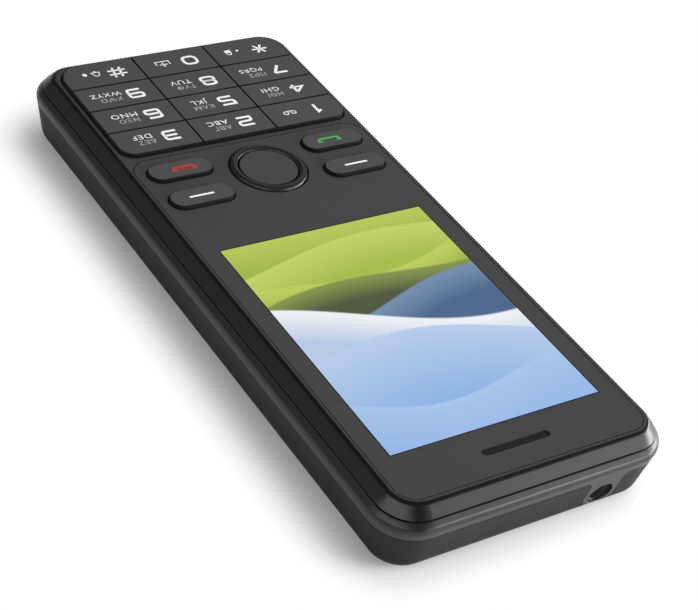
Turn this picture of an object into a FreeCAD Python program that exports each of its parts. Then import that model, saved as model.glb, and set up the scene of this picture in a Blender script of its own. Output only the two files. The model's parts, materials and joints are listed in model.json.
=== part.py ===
import FreeCAD, Part
import math
import os
import re
import Sketcher

# A bar-shaped mobile phone, lying on its back.
# Origin: middle of the flat back face. +X is the user's right, +Y points to the earpiece end,
# +Z comes out of the screen. All sizes are millimetres.

UP = FreeCAD.Vector(0, 0, 1)
doc = FreeCAD.newDocument("bar_phone")

# ---------------------------------------------------------------- driving dimensions
SIZES = (
    ("phone_width", 58.7, "across the ridge, the widest line of the sides"),
    ("phone_length", 137.3, "over the ridge at both ends"),
    ("body_depth", 14.4, "flat back to the face of the front panel"),
    ("corner_radius", 7.8, "plan corner at the ridge"),
    ("ridge_drop", 3.7, "front face down to the ridge"),
    ("seam_drop", 2.45, "front face down to the parting seam of the front housing"),
    ("seam_inset", 1.15, "seam inside the ridge"),
    ("seam_groove", 0.25, "height of the groove at the seam"),
    ("seam_lip", 0.55, "seam outline to the lip that carries the front housing"),
    ("front_draft", 41.0, "slope of the front housing's wall, degrees"),
    ("front_edge_radius", 1.2, "round of the front housing's outer edge"),
    ("back_draft", 12.0, "inward slope of the lower wall, degrees"),
    ("back_edge_radius", 3.2, "round between the lower wall and the back"),
    ("strip_height", 2.0, "band of the rear frame that shows below the ridge"),
    ("shell_wall", 1.3, "wall of the front housing and rear frame"),
    ("web_thickness", 1.0, "housing plate under the front panel"),
    ("cover_wall", 1.2, "wall of the battery cover"),
    ("cover_fit", 0.25, "cover's inside to the frame's tub"),
    ("cover_gap", 0.15, "line between cover and frame"),
    ("tub_foot", 0.3, "tub's lowest edge above the cover's inside"),
    ("floor_drop", 7.0, "front face down to the frame's floor"),
    ("floor_thickness", 0.8, "frame's floor over the battery"),
    ("ledge_width", 1.5, "ledge that the main board lies on"),
    ("panel_margin", 4.0, "ridge to the front panel's edge"),
    ("panel_radius", 3.8, "corner of the front panel"),
    ("panel_thickness", 1.0, "front panel plate and display window"),
    ("panel_gap", 0.15, "line round the front panel"),
    ("bridge_width", 1.5, "housing between keypad and front panel"),
    ("keypad_margin", 4.28, "bottom end to the keypad's edge"),
    ("keypad_width", 50.0, "over the three columns of keys"),
    ("column_pitch", 16.4, "middle to middle of the key columns"),
    ("row_pitch", 7.76, "rows of digits 1 to 9"),
    ("last_row_length", 8.3, "bottom row of keys"),
    ("keypad_low_radius", 5.2, "keypad corner at the bottom end"),
    ("keypad_high_radius", 3.0, "keypad corner towards the screen"),
    ("keypad_gap", 0.35, "opening round the keypad"),
    ("key_groove", 0.26, "groove between two keys"),
    ("key_rise", 0.7, "key tops above the front panel"),
    ("key_thickness", 1.9, "key cap"),
    ("key_edge_radius", 0.25, "round of the key block's outer edge"),
    ("groove_edge_radius", 0.12, "round of a key along its grooves"),
    ("function_key_width", 13.05, "soft, call and end keys"),
    ("function_key_length", 5.0, "soft, call and end keys"),
    ("function_key_radius", 2.4, "corner of these keys"),
    ("function_key_offset", 16.875, "middle line to the middle of these keys"),
    ("function_key_pitch", 8.7, "soft key to call key"),
    ("function_key_gap", 0.3, "opening round these keys"),
    ("stem_radius", 1.1, "key stem"),
    ("stem_clearance", 0.3, "key mat round a stem"),
    ("mat_gap", 0.35, "key cap above its pad on the mat"),
    ("mat_thickness", 0.6, "key mat sheet"),
    ("mat_rim", 0.8, "wall under the mat's edge"),
    ("mat_clearance", 0.3, "mat to the housing's inside"),
    ("mat_overhang", 1.2, "key mat beyond the soft keys"),
    ("pad_width", 10.0, "raised pad of the mat under a key"),
    ("pad_length", 4.0, "raised pad of the mat under a key"),
    ("small_pad_width", 9.0, "raised pad under a soft, call or end key"),
    ("small_pad_length", 3.4, "raised pad under a soft, call or end key"),
    ("dome_radius", 1.8, "metal dome of a key switch"),
    ("small_dome_radius", 1.3, "metal dome of a direction switch"),
    ("dome_height", 0.25, "metal dome of a key switch"),
    ("dome_crown", 0.5, "flat top of a dome, as a share of its radius"),
    ("dome_film", 0.1, "film that holds the domes"),
    ("film_margin", 0.05, "film beyond the last dome"),
    ("dome_gap", 0.3, "stem above its dome, more than the key's travel"),
    ("nav_height", 9.4, "front panel's lower edge to the middle of the navigation key"),
    ("nav_ring_radius", 7.5, "outside of the navigation ring"),
    ("nav_button_radius", 5.65, "centre button"),
    ("nav_inner_gap", 0.25, "ring to centre button"),
    ("nav_outer_gap", 0.3, "opening round the ring"),
    ("nav_ring_rise", 0.65, "top of the ring above the panel"),
    ("nav_button_rise", 0.3, "centre button above the panel"),
    ("nav_pad_radius", 8.2, "silicone actuator under the ring"),
    ("nav_pad_gap", 0.22, "tilt room over and under the actuator"),
    ("nav_pad_thickness", 0.5, "silicone actuator under the ring"),
    ("nav_pad_clearance", 0.4, "key mat round the actuator"),
    ("plunger_radius", 0.9, "actuator's plunger over a direction switch"),
    ("nav_plunger_offset", 6.7, "middle of the key to the four direction switches"),
    ("display_height", 29.4, "front panel's lower edge to the picture's lower edge"),
    ("display_width", 43.2, "visible picture"),
    ("display_length", 56.3, "visible picture"),
    ("lcd_width", 47.6, "display module"),
    ("lcd_length", 64.8, "display module"),
    ("lcd_low_border", 6.5, "module's driver edge below the picture"),
    ("lcd_thickness", 2.3, "display module"),
    ("lcd_gap", 0.15, "module under the window"),
    ("lcd_clearance", 0.3, "housing round the module"),
    ("lcd_opening_radius", 0.6, "corner of the opening over the module"),
    ("tray_wall", 0.3, "sheet-metal tray under the display"),
    ("tray_height", 1.2, "rim of the tray"),
    ("tray_foot_width", 2.0, "tray's foot on the board"),
    ("tray_foot_length", 3.0, "tray's foot on the board"),
    ("tray_foot_inset", 4.0, "module's end to the middle of a foot"),
    ("connector_width", 12.0, "display connector"),
    ("connector_length", 2.6, "display connector"),
    ("connector_height", 0.9, "display connector"),
    ("ribbon_width", 10.0, "display ribbon"),
    ("ribbon_thickness", 0.1, "display ribbon"),
    ("earpiece_margin", 9.02, "top end to the earpiece slot"),
    ("earpiece_length", 14.0, "earpiece slot"),
    ("earpiece_width", 1.55, "earpiece slot"),
    ("mesh_recess", 0.3, "mesh below the panel's face"),
    ("mesh_thickness", 0.2, "acoustic mesh"),
    ("receiver_width", 15.0, "earpiece capsule"),
    ("receiver_length", 5.4, "earpiece capsule"),
    ("receiver_edge_radius", 0.3, "earpiece capsule"),
    ("board_drop", 4.2, "front face down to the main board"),
    ("board_thickness", 1.0, "main board"),
    ("board_clearance", 0.3, "housing round the main board"),
    ("battery_margin", 8.75, "bottom end to the battery"),
    ("battery_width", 44.0, "battery"),
    ("battery_length", 62.0, "battery"),
    ("battery_thickness", 5.0, "battery"),
    ("battery_clearance", 0.2, "bay round the battery"),
    ("battery_radius", 1.2, "corner of the battery"),
    ("bay_radius", 0.8, "corner of the battery bay"),
    ("divider_wall", 1.4, "battery bay to the upper chamber"),
    ("chamber_margin", 4.6, "outline to the upper chamber"),
    ("chamber_radius", 2.2, "corner of the upper chamber"),
    ("chamber_floor", 0.7, "plate under the upper chamber"),
    ("jack_offset", 15.2, "middle line to the audio socket, user's left"),
    ("jack_height", 4.2, "audio socket's body"),
    ("jack_width", 6.2, "audio socket's body"),
    ("jack_length", 12.0, "audio socket's body"),
    ("jack_nose_radius", 2.3, "collar round the socket's mouth"),
    ("jack_hole_radius", 2.45, "hole in the frame for the collar"),
    ("jack_recess", 0.43, "collar inside the sloping end wall"),
    ("jack_bore_radius", 1.8, "bore for the plug"),
    ("sleeve_wall", 0.25, "metal sleeve in the bore"),
    ("jack_floor", 0.6, "closed end of the audio socket"),
    ("sleeve_recess", 0.4, "sleeve inside the collar's mouth"),
    ("leg_width", 0.8, "contact leg of the audio socket"),
    ("leg_thickness", 0.5, "contact leg of the audio socket"),
    ("leg_offset", 2.0, "audio socket's middle line to its legs"),
    ("tongue_half_width", 3.5, "tongue of the frame round the socket"),
    ("tongue_flare", 1.5, "round where the tongue meets the strip"),
    ("screw_side_inset", 7.75, "ridge to the upper screws"),
    ("screw_end_inset", 8.45, "top end to the upper screws"),
    ("low_screw_offset", 21.4, "middle line to the lower screws"),
    ("low_screw_height", 0.9, "front panel's lower edge to the lower screws"),
    ("screw_shank_radius", 0.8, "housing screw"),
    ("screw_head_radius", 1.4, "housing screw"),
    ("screw_head_height", 0.8, "housing screw"),
    ("screw_head_recess", 0.1, "screw head above the floor's underside"),
    ("screw_engagement", 1.6, "thread in the front housing's boss"),
    ("screw_clearance", 0.15, "hole round shank and head"),
    ("boss_radius", 2.1, "screw bosses"),
    ("boss_clearance", 0.2, "key mat and dome film round a boss"),
    ("camera_margin", 16.65, "top end to the rear camera"),
    ("camera_size", 8.5, "camera module"),
    ("camera_height", 5.0, "camera module"),
    ("camera_barrel_radius", 2.7, "lens barrel"),
    ("barrel_clearance", 0.3, "frame round the lens barrel"),
    ("barrel_recess", 0.1, "lens barrel inside the frame's plate"),
    ("window_radius", 4.2, "rear camera window"),
    ("window_thickness", 0.6, "rear camera window"),
    ("window_ledge", 0.9, "cover under the window's rim"),
    ("window_clearance", 0.1, "cover round the window"),
    ("torch_offset", 10.0, "camera to the torch"),
    ("torch_radius", 1.9, "light guide of the torch"),
    ("torch_led_size", 3.0, "lamp of the torch"),
    ("torch_led_height", 0.9, "lamp of the torch"),
    ("torch_recess", 0.15, "light guide inside the back"),
    ("guide_clearance", 0.1, "frame round the light guide"),
    ("motor_radius", 5.0, "vibration motor"),
    ("motor_height", 3.0, "vibration motor"),
    ("motor_offset", 17.5, "middle line to the vibration motor"),
    ("motor_setback", 6.0, "camera to the vibration motor"),
    ("speaker_margin", 38.65, "top end to the loudspeaker"),
    ("speaker_width", 20.0, "loudspeaker"),
    ("speaker_length", 14.0, "loudspeaker"),
    ("speaker_height", 4.2, "loudspeaker"),
    ("speaker_radius", 2.0, "corner of the loudspeaker"),
    ("speaker_pin_size", 1.0, "loudspeaker's contact pin"),
    ("speaker_pin_inset", 1.2, "loudspeaker's side to its pins"),
    ("speaker_pin_setback", 2.5, "loudspeaker's end to its pins"),
    ("speaker_mesh_margin", 1.5, "loudspeaker mesh beyond the slots"),
    ("grille_slots", 5, "slots of the loudspeaker's grille"),
    ("grille_pitch", 2.2, "slot to slot"),
    ("grille_slot_width", 1.1, "slot across"),
    ("grille_slot_length", 9.0, "slot along"),
    ("grille_clearance", 0.4, "frame's slots over the cover's, across and along"),
    ("socket_width", 7.6, "charging socket shell"),
    ("socket_height", 2.5, "charging socket shell"),
    ("socket_length", 4.2, "charging socket shell"),
    ("socket_wall", 0.3, "charging socket shell"),
    ("socket_back", 1.0, "closed end of the charging socket"),
    ("socket_recess", 0.7, "charging socket inside the end wall"),
    ("socket_clearance", 0.2, "wall and board round the charging socket"),
    ("socket_wing", 1.2, "solder wing of the charging socket"),
    ("wing_length", 2.0, "solder wing of the charging socket"),
    ("wing_thickness", 0.25, "solder wing of the charging socket"),
    ("charge_tongue_width", 4.6, "contact tongue of the charging socket"),
    ("charge_tongue_thickness", 0.6, "contact tongue of the charging socket"),
    ("charge_tongue_recess", 0.8, "contact tongue inside the socket's mouth"),
    ("contact_width", 11.0, "battery contact block"),
    ("contact_depth", 4.2, "battery contact block"),
    ("contact_rise", 1.2, "battery contact block above the chamber's plate"),
    ("contact_clearance", 0.2, "divider round the contact block"),
    ("spring_width", 1.2, "battery contact spring"),
    ("spring_height", 1.6, "battery contact spring"),
    ("spring_rise", 0.8, "contact block's underside to its springs"),
    ("spring_pitch", 3.2, "spring to spring"),
    ("microphone_offset", 12.0, "middle line to the microphone"),
    ("microphone_width", 3.6, "microphone"),
    ("microphone_length", 2.8, "microphone"),
    ("microphone_height", 1.2, "microphone"),
    ("microphone_setback", 0.1, "board's edge to the microphone"),
    ("microphone_clearance", 0.3, "mat round the microphone"),
    ("microphone_hole_radius", 0.5, "sound hole in the end wall"),
    ("card_clearance", 0.3, "floor window round a card socket"),
    ("card_reach", 3.0, "floor window beyond a card socket's mouth"),
    ("card_inset", 13.0, "battery's upper end to the middle of the card sockets"),
    ("part_height", 1.6, "shields and sockets under the main board"),
    ("sim_socket_width", 15.0, "SIM card socket"),
    ("sim_socket_length", 16.0, "SIM card socket"),
    ("sim_left_x", -15.6, "middle of the left SIM card socket"),
    ("sim_right_x", 0.6, "middle of the right SIM card socket"),
    ("card_socket_width", 12.0, "memory card socket"),
    ("card_socket_length", 15.0, "memory card socket"),
    ("card_socket_x", 16.6, "middle of the memory card socket"),
    ("card_slot_height", 0.9, "slot for a card"),
    ("card_socket_wall", 0.5, "card socket's walls"),
    ("card_socket_floor", 0.3, "card socket's lower plate"),
    ("radio_shield_width", 36.0, "shield of the radio"),
    ("radio_shield_length", 20.0, "shield of the radio"),
    ("radio_shield_inset", 42.0, "battery's upper end to the radio's shield"),
    ("main_shield_width", 34.0, "shield of the processor"),
    ("main_shield_length", 18.0, "shield of the processor"),
    ("main_shield_offset", 17.0, "battery's upper end to the processor's shield"),
    ("radio_chip_size", 9.0, "radio chip"),
    ("radio_chip_x", -8.0, "radio chip"),
    ("power_chip_size", 7.0, "power chip"),
    ("power_chip_x", 8.0, "power chip"),
    ("main_chip_size", 12.0, "processor"),
    ("main_chip_x", -6.0, "processor"),
    ("memory_chip_width", 10.0, "memory chip"),
    ("memory_chip_length", 8.0, "memory chip"),
    ("memory_chip_x", 9.0, "memory chip"),
    ("chip_height", 0.9, "chips"),
    ("antenna_width", 13.0, "antenna carrier"),
    ("antenna_length", 3.2, "antenna carrier"),
    ("antenna_height", 1.3, "antenna carrier"),
    ("antenna_x", -13.0, "antenna carrier"),
    ("antenna_margin", 7.75, "bottom end to the antenna carrier"),
    ("sheet_metal", 0.2, "shields"),
    ("nail_notch_width", 10.0, "notch to lift the cover"),
    ("nail_notch_depth", 1.0, "notch to lift the cover"),
    ("joint_overlap", 0.2, "depth that two fused shapes share"),
    ("round_end", 0.49, "corner of a round-ended slot, as a share of its width"),
    ("full_round", 0.999, "corner of a round cap, as a share of its radius"),
    ("edge_share", 0.9, "fillet on a corner, as a share of the corner's radius"),
    ("cut_through", 1.0, "reach of a cutting shape beyond what it cuts"),
)

sheet = doc.addObject("Spreadsheet::Sheet", "sizes")
for row, (alias, number, note) in enumerate(SIZES, 1):
    sheet.set("A%d" % row, alias)
    sheet.set("B%d" % row, str(number))
    sheet.set("C%d" % row, note)
    sheet.setAlias("B%d" % row, alias)
doc.recompute()

ALIAS = re.compile(r"\b[a-z]+(?:_[a-z]+)+\b")


def sized(text):
    """Expression text with every size name pointed at the sheet."""
    return ALIAS.sub(lambda match: "sizes." + match.group(0), text)


def value(text):
    """Number that an expression gives now."""
    return float(sheet.evalExpression(sized(text)))


def bind(item, **formulas):
    """Ties properties to expressions; a double underscore stands for a dot."""
    for prop, text in formulas.items():
        item.setExpression(prop.replace("__", "."), sized(text))


# Heights, from the flat back at 0.
FACE = "body_depth"
RIDGE = "(body_depth - ridge_drop)"
SEAM = "(body_depth - seam_drop)"
COVER_LINE = "(body_depth - ridge_drop - strip_height)"
PANEL_UNDER = "(body_depth - panel_thickness)"
WEB_UNDER = "(body_depth - panel_thickness - web_thickness)"
BOARD_TOP = "(body_depth - board_drop)"
BOARD_UNDER = "(body_depth - board_drop - board_thickness)"
FLOOR_TOP = "(body_depth - floor_drop)"
FLOOR_UNDER = "(body_depth - floor_drop - floor_thickness)"
TUB_LOW = "(cover_wall + tub_foot)"
CHAMBER_LOW = "(cover_wall + tub_foot + chamber_floor)"
CAP_UNDER = "(body_depth + key_rise - key_thickness)"
STEM_LOW = "(body_depth - board_drop + dome_film + dome_height + dome_gap)"
MAT_LOW = "(body_depth - panel_thickness - web_thickness - mat_thickness)"
CONTACT_LOW = "(%s + contact_rise)" % CHAMBER_LOW
SCREW_HEAD_LOW = "(%s + screw_head_recess)" % FLOOR_UNDER
SOCKET_LOW = "((%s + %s) / 2 - socket_height / 2)" % (COVER_LINE, SEAM)

# Stations along the length.
KEYPAD_LOW = "(keypad_margin - phone_length / 2)"
KEYPAD_LENGTH = "(last_row_length + 3 * row_pitch)"
KEYPAD_HIGH = "(keypad_margin - phone_length / 2 + last_row_length + 3 * row_pitch)"
PANEL_LOW = "(%s + bridge_width)" % KEYPAD_HIGH
PANEL_HIGH = "(phone_length / 2 - panel_margin)"
NAV_Y = "(%s + nav_height)" % PANEL_LOW
CALL_Y = "(%s - function_key_pitch / 2)" % NAV_Y
SOFT_Y = "(%s + function_key_pitch / 2)" % NAV_Y
DISPLAY_Y = "(%s + display_height + display_length / 2)" % PANEL_LOW
LCD_Y = "(%s + display_height - lcd_low_border + lcd_length / 2)" % PANEL_LOW
EARPIECE_Y = "(phone_length / 2 - earpiece_margin)"
BATTERY_Y = "(battery_margin - phone_length / 2 + battery_length / 2)"
BAY_HIGH = "(battery_margin - phone_length / 2 + battery_length + battery_clearance)"
CHAMBER_END = "(phone_length / 2 - chamber_margin)"
CAMERA_Y = "(phone_length / 2 - camera_margin)"
SPEAKER_Y = "(phone_length / 2 - speaker_margin)"
JACK_X = "(-jack_offset)"
JACK_Z = "(%s + jack_height / 2)" % CHAMBER_LOW
JACK_MOUTH = "(phone_length / 2 - (%s - %s) * tan(back_draft) - jack_recess)" % (RIDGE, JACK_Z)
TONGUE_LEAN = "((%s - %s + tongue_half_width) * tan(back_draft))" % (RIDGE, JACK_Z)
TONGUE_START = "(phone_length / 2 - cover_wall - cover_fit - %s)" % TONGUE_LEAN
LOW_SCREW_Y = "(%s + low_screw_height)" % PANEL_LOW
SOCKET_END = "(socket_recess + shell_wall / 2 - phone_length / 2)"
SOCKET_NOTCH_END = "(%s + socket_length + socket_clearance)" % SOCKET_END
BATTERY_HIGH = "(battery_margin + battery_length - phone_length / 2)"
CARD_Y = "(%s - card_inset)" % BATTERY_HIGH
INSIDE = "(seam_inset + shell_wall)"
BOARD_END = "(%s + board_clearance - phone_length / 2)" % INSIDE
MICROPHONE_Y = "(%s + microphone_setback + microphone_length / 2)" % BOARD_END


# ---------------------------------------------------------------- building helpers
def new_body(name):
    """An empty body, named by its label."""
    body = doc.addObject("PartDesign::Body", name)
    body.Label = name
    return body


def sketch_on(body, name, role, x, y, z):
    """Sketch on one of the body's own origin planes, moved by expressions."""
    plane = [item for item in body.Origin.OriginFeatures if item.Role == role][0]
    sketch = body.newObject("Sketcher::SketchObject", name)
    sketch.AttachmentSupport = (plane, [""])
    sketch.MapMode = "FlatFace"
    bind(sketch, AttachmentOffset__Base__x=x, AttachmentOffset__Base__y=y, AttachmentOffset__Base__z=z)
    return sketch


def constrain(sketch, name, constraint, formula):
    """Named dimension of a sketch, driven by the sheet."""
    sketch.renameConstraint(sketch.addConstraint(constraint), name)
    sketch.setExpression("Constraints." + name, sized(formula))


def draw_rounded(sketch, width, length, low_radius, high_radius):
    """Rectangle round the sketch's origin, with one radius at the low corners and one at the high."""
    half_w = value(width) / 2
    half_l = value(length) / 2
    low = value(low_radius)
    high = value(high_radius)

    def line(x0, y0, x1, y1):
        return Part.LineSegment(FreeCAD.Vector(x0, y0, 0), FreeCAD.Vector(x1, y1, 0))

    def corner(x, y, radius, start):
        circle = Part.Circle(FreeCAD.Vector(x, y, 0), UP, radius)
        return Part.ArcOfCircle(circle, start, start + math.pi / 2)

    sketch.addGeometry([
        line(low - half_w, -half_l, half_w - low, -half_l),
        line(half_w, low - half_l, half_w, half_l - high),
        line(half_w - high, half_l, high - half_w, half_l),
        line(-half_w, half_l - high, -half_w, low - half_l),
        corner(half_w - low, low - half_l, low, -math.pi / 2),
        corner(half_w - high, half_l - high, high, 0),
        corner(high - half_w, half_l - high, high, math.pi / 2),
        corner(low - half_w, low - half_l, low, math.pi),
    ], False)
    for side in range(4):
        sketch.addConstraint(Sketcher.Constraint("Tangent", side, 2, 4 + side, 1))
        sketch.addConstraint(Sketcher.Constraint("Tangent", 4 + side, 2, (side + 1) % 4, 1))
        sketch.addConstraint(Sketcher.Constraint("Horizontal" if side % 2 == 0 else "Vertical", side))
    sketch.addConstraint(Sketcher.Constraint("Equal", 4, 7))
    sketch.addConstraint(Sketcher.Constraint("Equal", 5, 6))
    constrain(sketch, "right", Sketcher.Constraint("DistanceX", -1, 1, 1, 1, half_w), width + " / 2")
    constrain(sketch, "left", Sketcher.Constraint("DistanceX", 3, 1, -1, 1, half_w), width + " / 2")
    constrain(sketch, "low", Sketcher.Constraint("DistanceY", 0, 1, -1, 1, half_l), length + " / 2")
    constrain(sketch, "high", Sketcher.Constraint("DistanceY", -1, 1, 2, 1, half_l), length + " / 2")
    constrain(sketch, "low_radius", Sketcher.Constraint("Radius", 4, low), low_radius)
    constrain(sketch, "high_radius", Sketcher.Constraint("Radius", 5, high), high_radius)


def rounded_block(name, width, length, radius, low, high, x="0", y="0", high_radius=None,
                  taper=None, downwards=False, edge=None):
    """Body of rounded plan from height low to high. A taper narrows it away from its sketch, and
    edge rounds the rim of the far end."""
    body = new_body(name)
    sketch = sketch_on(body, name + "_plan", "XY_Plane", x, y, high if downwards else low)
    draw_rounded(sketch, width, length, radius, high_radius or radius)
    pad = body.newObject("PartDesign::Pad", name + "_pad")
    pad.Profile = sketch
    pad.Reversed = downwards
    bind(pad, Length="%s - %s" % (high, low))
    if taper:
        bind(pad, TaperAngle="-" + taper)
    doc.recompute()
    if edge:
        far = value(low if downwards else high)
        rim = ["Edge%d" % (place + 1) for place, item in enumerate(pad.Shape.Edges)
               if abs(item.BoundBox.ZMin - far) < 1e-6 and abs(item.BoundBox.ZMax - far) < 1e-6]
        fillet = body.newObject("PartDesign::Fillet", name + "_edge")
        fillet.Base = (pad, rim)
        bind(fillet, Radius=edge)
        doc.recompute()
    return body


def box(name, width, length, low, high, x="0", y="0"):
    """Box centred on x and y, from height low to high."""
    item = doc.addObject("Part::Box", name)
    bind(item, Length=width, Width=length, Height="%s - %s" % (high, low),
         Placement__Base__x="%s - (%s) / 2" % (x, width),
         Placement__Base__y="%s - (%s) / 2" % (y, length),
         Placement__Base__z=low)
    return item


def post(name, radius, low, high, x="0", y="0"):
    """Upright cylinder from height low to high."""
    item = doc.addObject("Part::Cylinder", name)
    bind(item, Radius=radius, Height="%s - %s" % (high, low),
         Placement__Base__x=x, Placement__Base__y=y, Placement__Base__z=low)
    return item


def along_y(name, radius, start, end, x, z):
    """Cylinder along the phone's length, from station start to end."""
    item = doc.addObject("Part::Cylinder", name)
    item.Placement.Rotation = FreeCAD.Rotation(FreeCAD.Vector(1, 0, 0), -90)
    bind(item, Radius=radius, Height="%s - %s" % (end, start),
         Placement__Base__x=x, Placement__Base__y=start, Placement__Base__z=z)
    return item


def fuse(name, items):
    """All items as one."""
    joined = doc.addObject("Part::MultiFuse", name)
    joined.Shapes = items
    joined.Refine = True
    return joined


def cut(name, base, tools):
    """Base less its tools."""
    result = doc.addObject("Part::Cut", name)
    result.Base = base
    result.Tool = tools[0] if len(tools) == 1 else fuse(name + "_tools", tools)
    result.Refine = True
    return result


def common(name, base, tool):
    """What base and tool share."""
    result = doc.addObject("Part::Common", name)
    result.Base = base
    result.Tool = tool
    return result


def group(name, items):
    """Separate solids that share one node."""
    result = doc.addObject("Part::Compound", name)
    result.Links = items
    return result


NODES = {}


def node(name, item):
    """Registers a finished sub-part under its node name."""
    item.Label = name
    NODES[name] = item
    return item


# ---------------------------------------------------------------- where keys, sockets and screws stand
COLUMNS = ("-column_pitch", "0", "column_pitch")
KEY_NAMES = (("key_star", "key_0", "key_hash"), ("key_7", "key_8", "key_9"),
             ("key_4", "key_5", "key_6"), ("key_1", "key_2", "key_3"))
FUNCTION_KEYS = (("soft_key_left", "-1", SOFT_Y), ("soft_key_right", "1", SOFT_Y),
                 ("call_key", "-1", CALL_Y), ("end_key", "1", CALL_Y))
CARD_SOCKETS = (("sim_socket_left", "sim_socket_width", "sim_socket_length", "sim_left_x"),
                ("sim_socket_right", "sim_socket_width", "sim_socket_length", "sim_right_x"),
                ("card_socket", "card_socket_width", "card_socket_length", "card_socket_x"))
PLUNGERS = (("0", "nav_plunger_offset"), ("0", "-nav_plunger_offset"),
            ("nav_plunger_offset", "0"), ("-nav_plunger_offset", "0"))
UPPER_SCREW_X = "(phone_width / 2 - screw_side_inset)"
UPPER_SCREW_Y = "(phone_length / 2 - screw_end_inset)"
SCREWS = ((UPPER_SCREW_X, UPPER_SCREW_Y), ("(-%s)" % UPPER_SCREW_X, UPPER_SCREW_Y),
          ("low_screw_offset", LOW_SCREW_Y), ("(-low_screw_offset)", LOW_SCREW_Y))


def row_low(row):
    """Lower edge of a row of number keys; row 0 is the bottom row."""
    if row == 0:
        return KEYPAD_LOW
    return "(%s + last_row_length + %d * row_pitch)" % (KEYPAD_LOW, row - 1)


def row_length(row):
    """Length of a row of number keys."""
    return "last_row_length" if row == 0 else "row_pitch"


def row_middle(row):
    """Middle line of a row of number keys."""
    return "(%s + %s / 2)" % (row_low(row), row_length(row))


def key_places():
    """Every key with a stem: name, x and y."""
    places = []
    for row, names in enumerate(KEY_NAMES):
        for column, name in enumerate(names):
            places.append((name, COLUMNS[column], row_middle(row)))
    for name, side, y in FUNCTION_KEYS:
        places.append((name, "(%s * function_key_offset)" % side, y))
    return places


# ---------------------------------------------------------------- outer shapes
def outer_back():
    """Everything below the ridge: walls that lean in, and a rounded edge to the flat back."""
    return rounded_block("outer_back", "phone_width", "phone_length", "corner_radius", "0", RIDGE,
                         taper="back_draft", downwards=True, edge="back_edge_radius")


def inside_back(name, offset, low, edge):
    """The lower shape, smaller by an offset, down to a given height."""
    return rounded_block(name, "(phone_width - 2 * (%s))" % offset, "(phone_length - 2 * (%s))" % offset,
                         "(corner_radius - (%s))" % offset, low, RIDGE,
                         taper="back_draft", downwards=True, edge=edge)


def tongue_prism(name, slack):
    """Tongue outline at the socket, as a prism along the length: straight sides, a round end and
    a flare where it meets the strip above."""
    start = TONGUE_START
    middle = "((%s + phone_length / 2) / 2 + cut_through)" % start
    length = "(phone_length / 2 + 2 * cut_through - %s)" % start
    half = "(tongue_half_width + %s)" % slack
    stem = box(name + "_stem", "2 * %s" % half, length, JACK_Z, "%s + %s" % (COVER_LINE, "cover_gap"),
               x=JACK_X, y=middle)
    end = along_y(name + "_end", half, start, "(phone_length / 2 + 2 * cut_through)", JACK_X, JACK_Z)
    reach = "(tongue_half_width + tongue_flare)"
    flare_low = "(%s - tongue_flare)" % COVER_LINE
    wide = box(name + "_wide", "2 * %s" % reach, length, flare_low, "%s + cover_gap" % COVER_LINE,
               x=JACK_X, y=middle)
    rounds = [along_y("%s_round_%d" % (name, side), "(tongue_flare - %s)" % slack, start,
                      "(phone_length / 2 + 2 * cut_through)", "(%s + %d * %s)" % (JACK_X, side, reach),
                      flare_low)
              for side in (-1, 1)]
    return fuse(name, [stem, end, cut(name + "_flare", wide, rounds)])


def back_holes(name, low, high, slack):
    """Loudspeaker slots through the plates between two heights."""
    slots = []
    count = int(value("grille_slots"))
    for place in range(count):
        y = "(%s + %g * grille_pitch)" % (SPEAKER_Y, place - (count - 1) / 2)
        slots.append(rounded_block("%s_%d" % (name, place), "(grille_slot_length + %s)" % slack,
                                   "(grille_slot_width + %s)" % slack,
                                   "((grille_slot_width + %s) * round_end)" % slack,
                                   low, high, y=y))
    return slots


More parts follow.
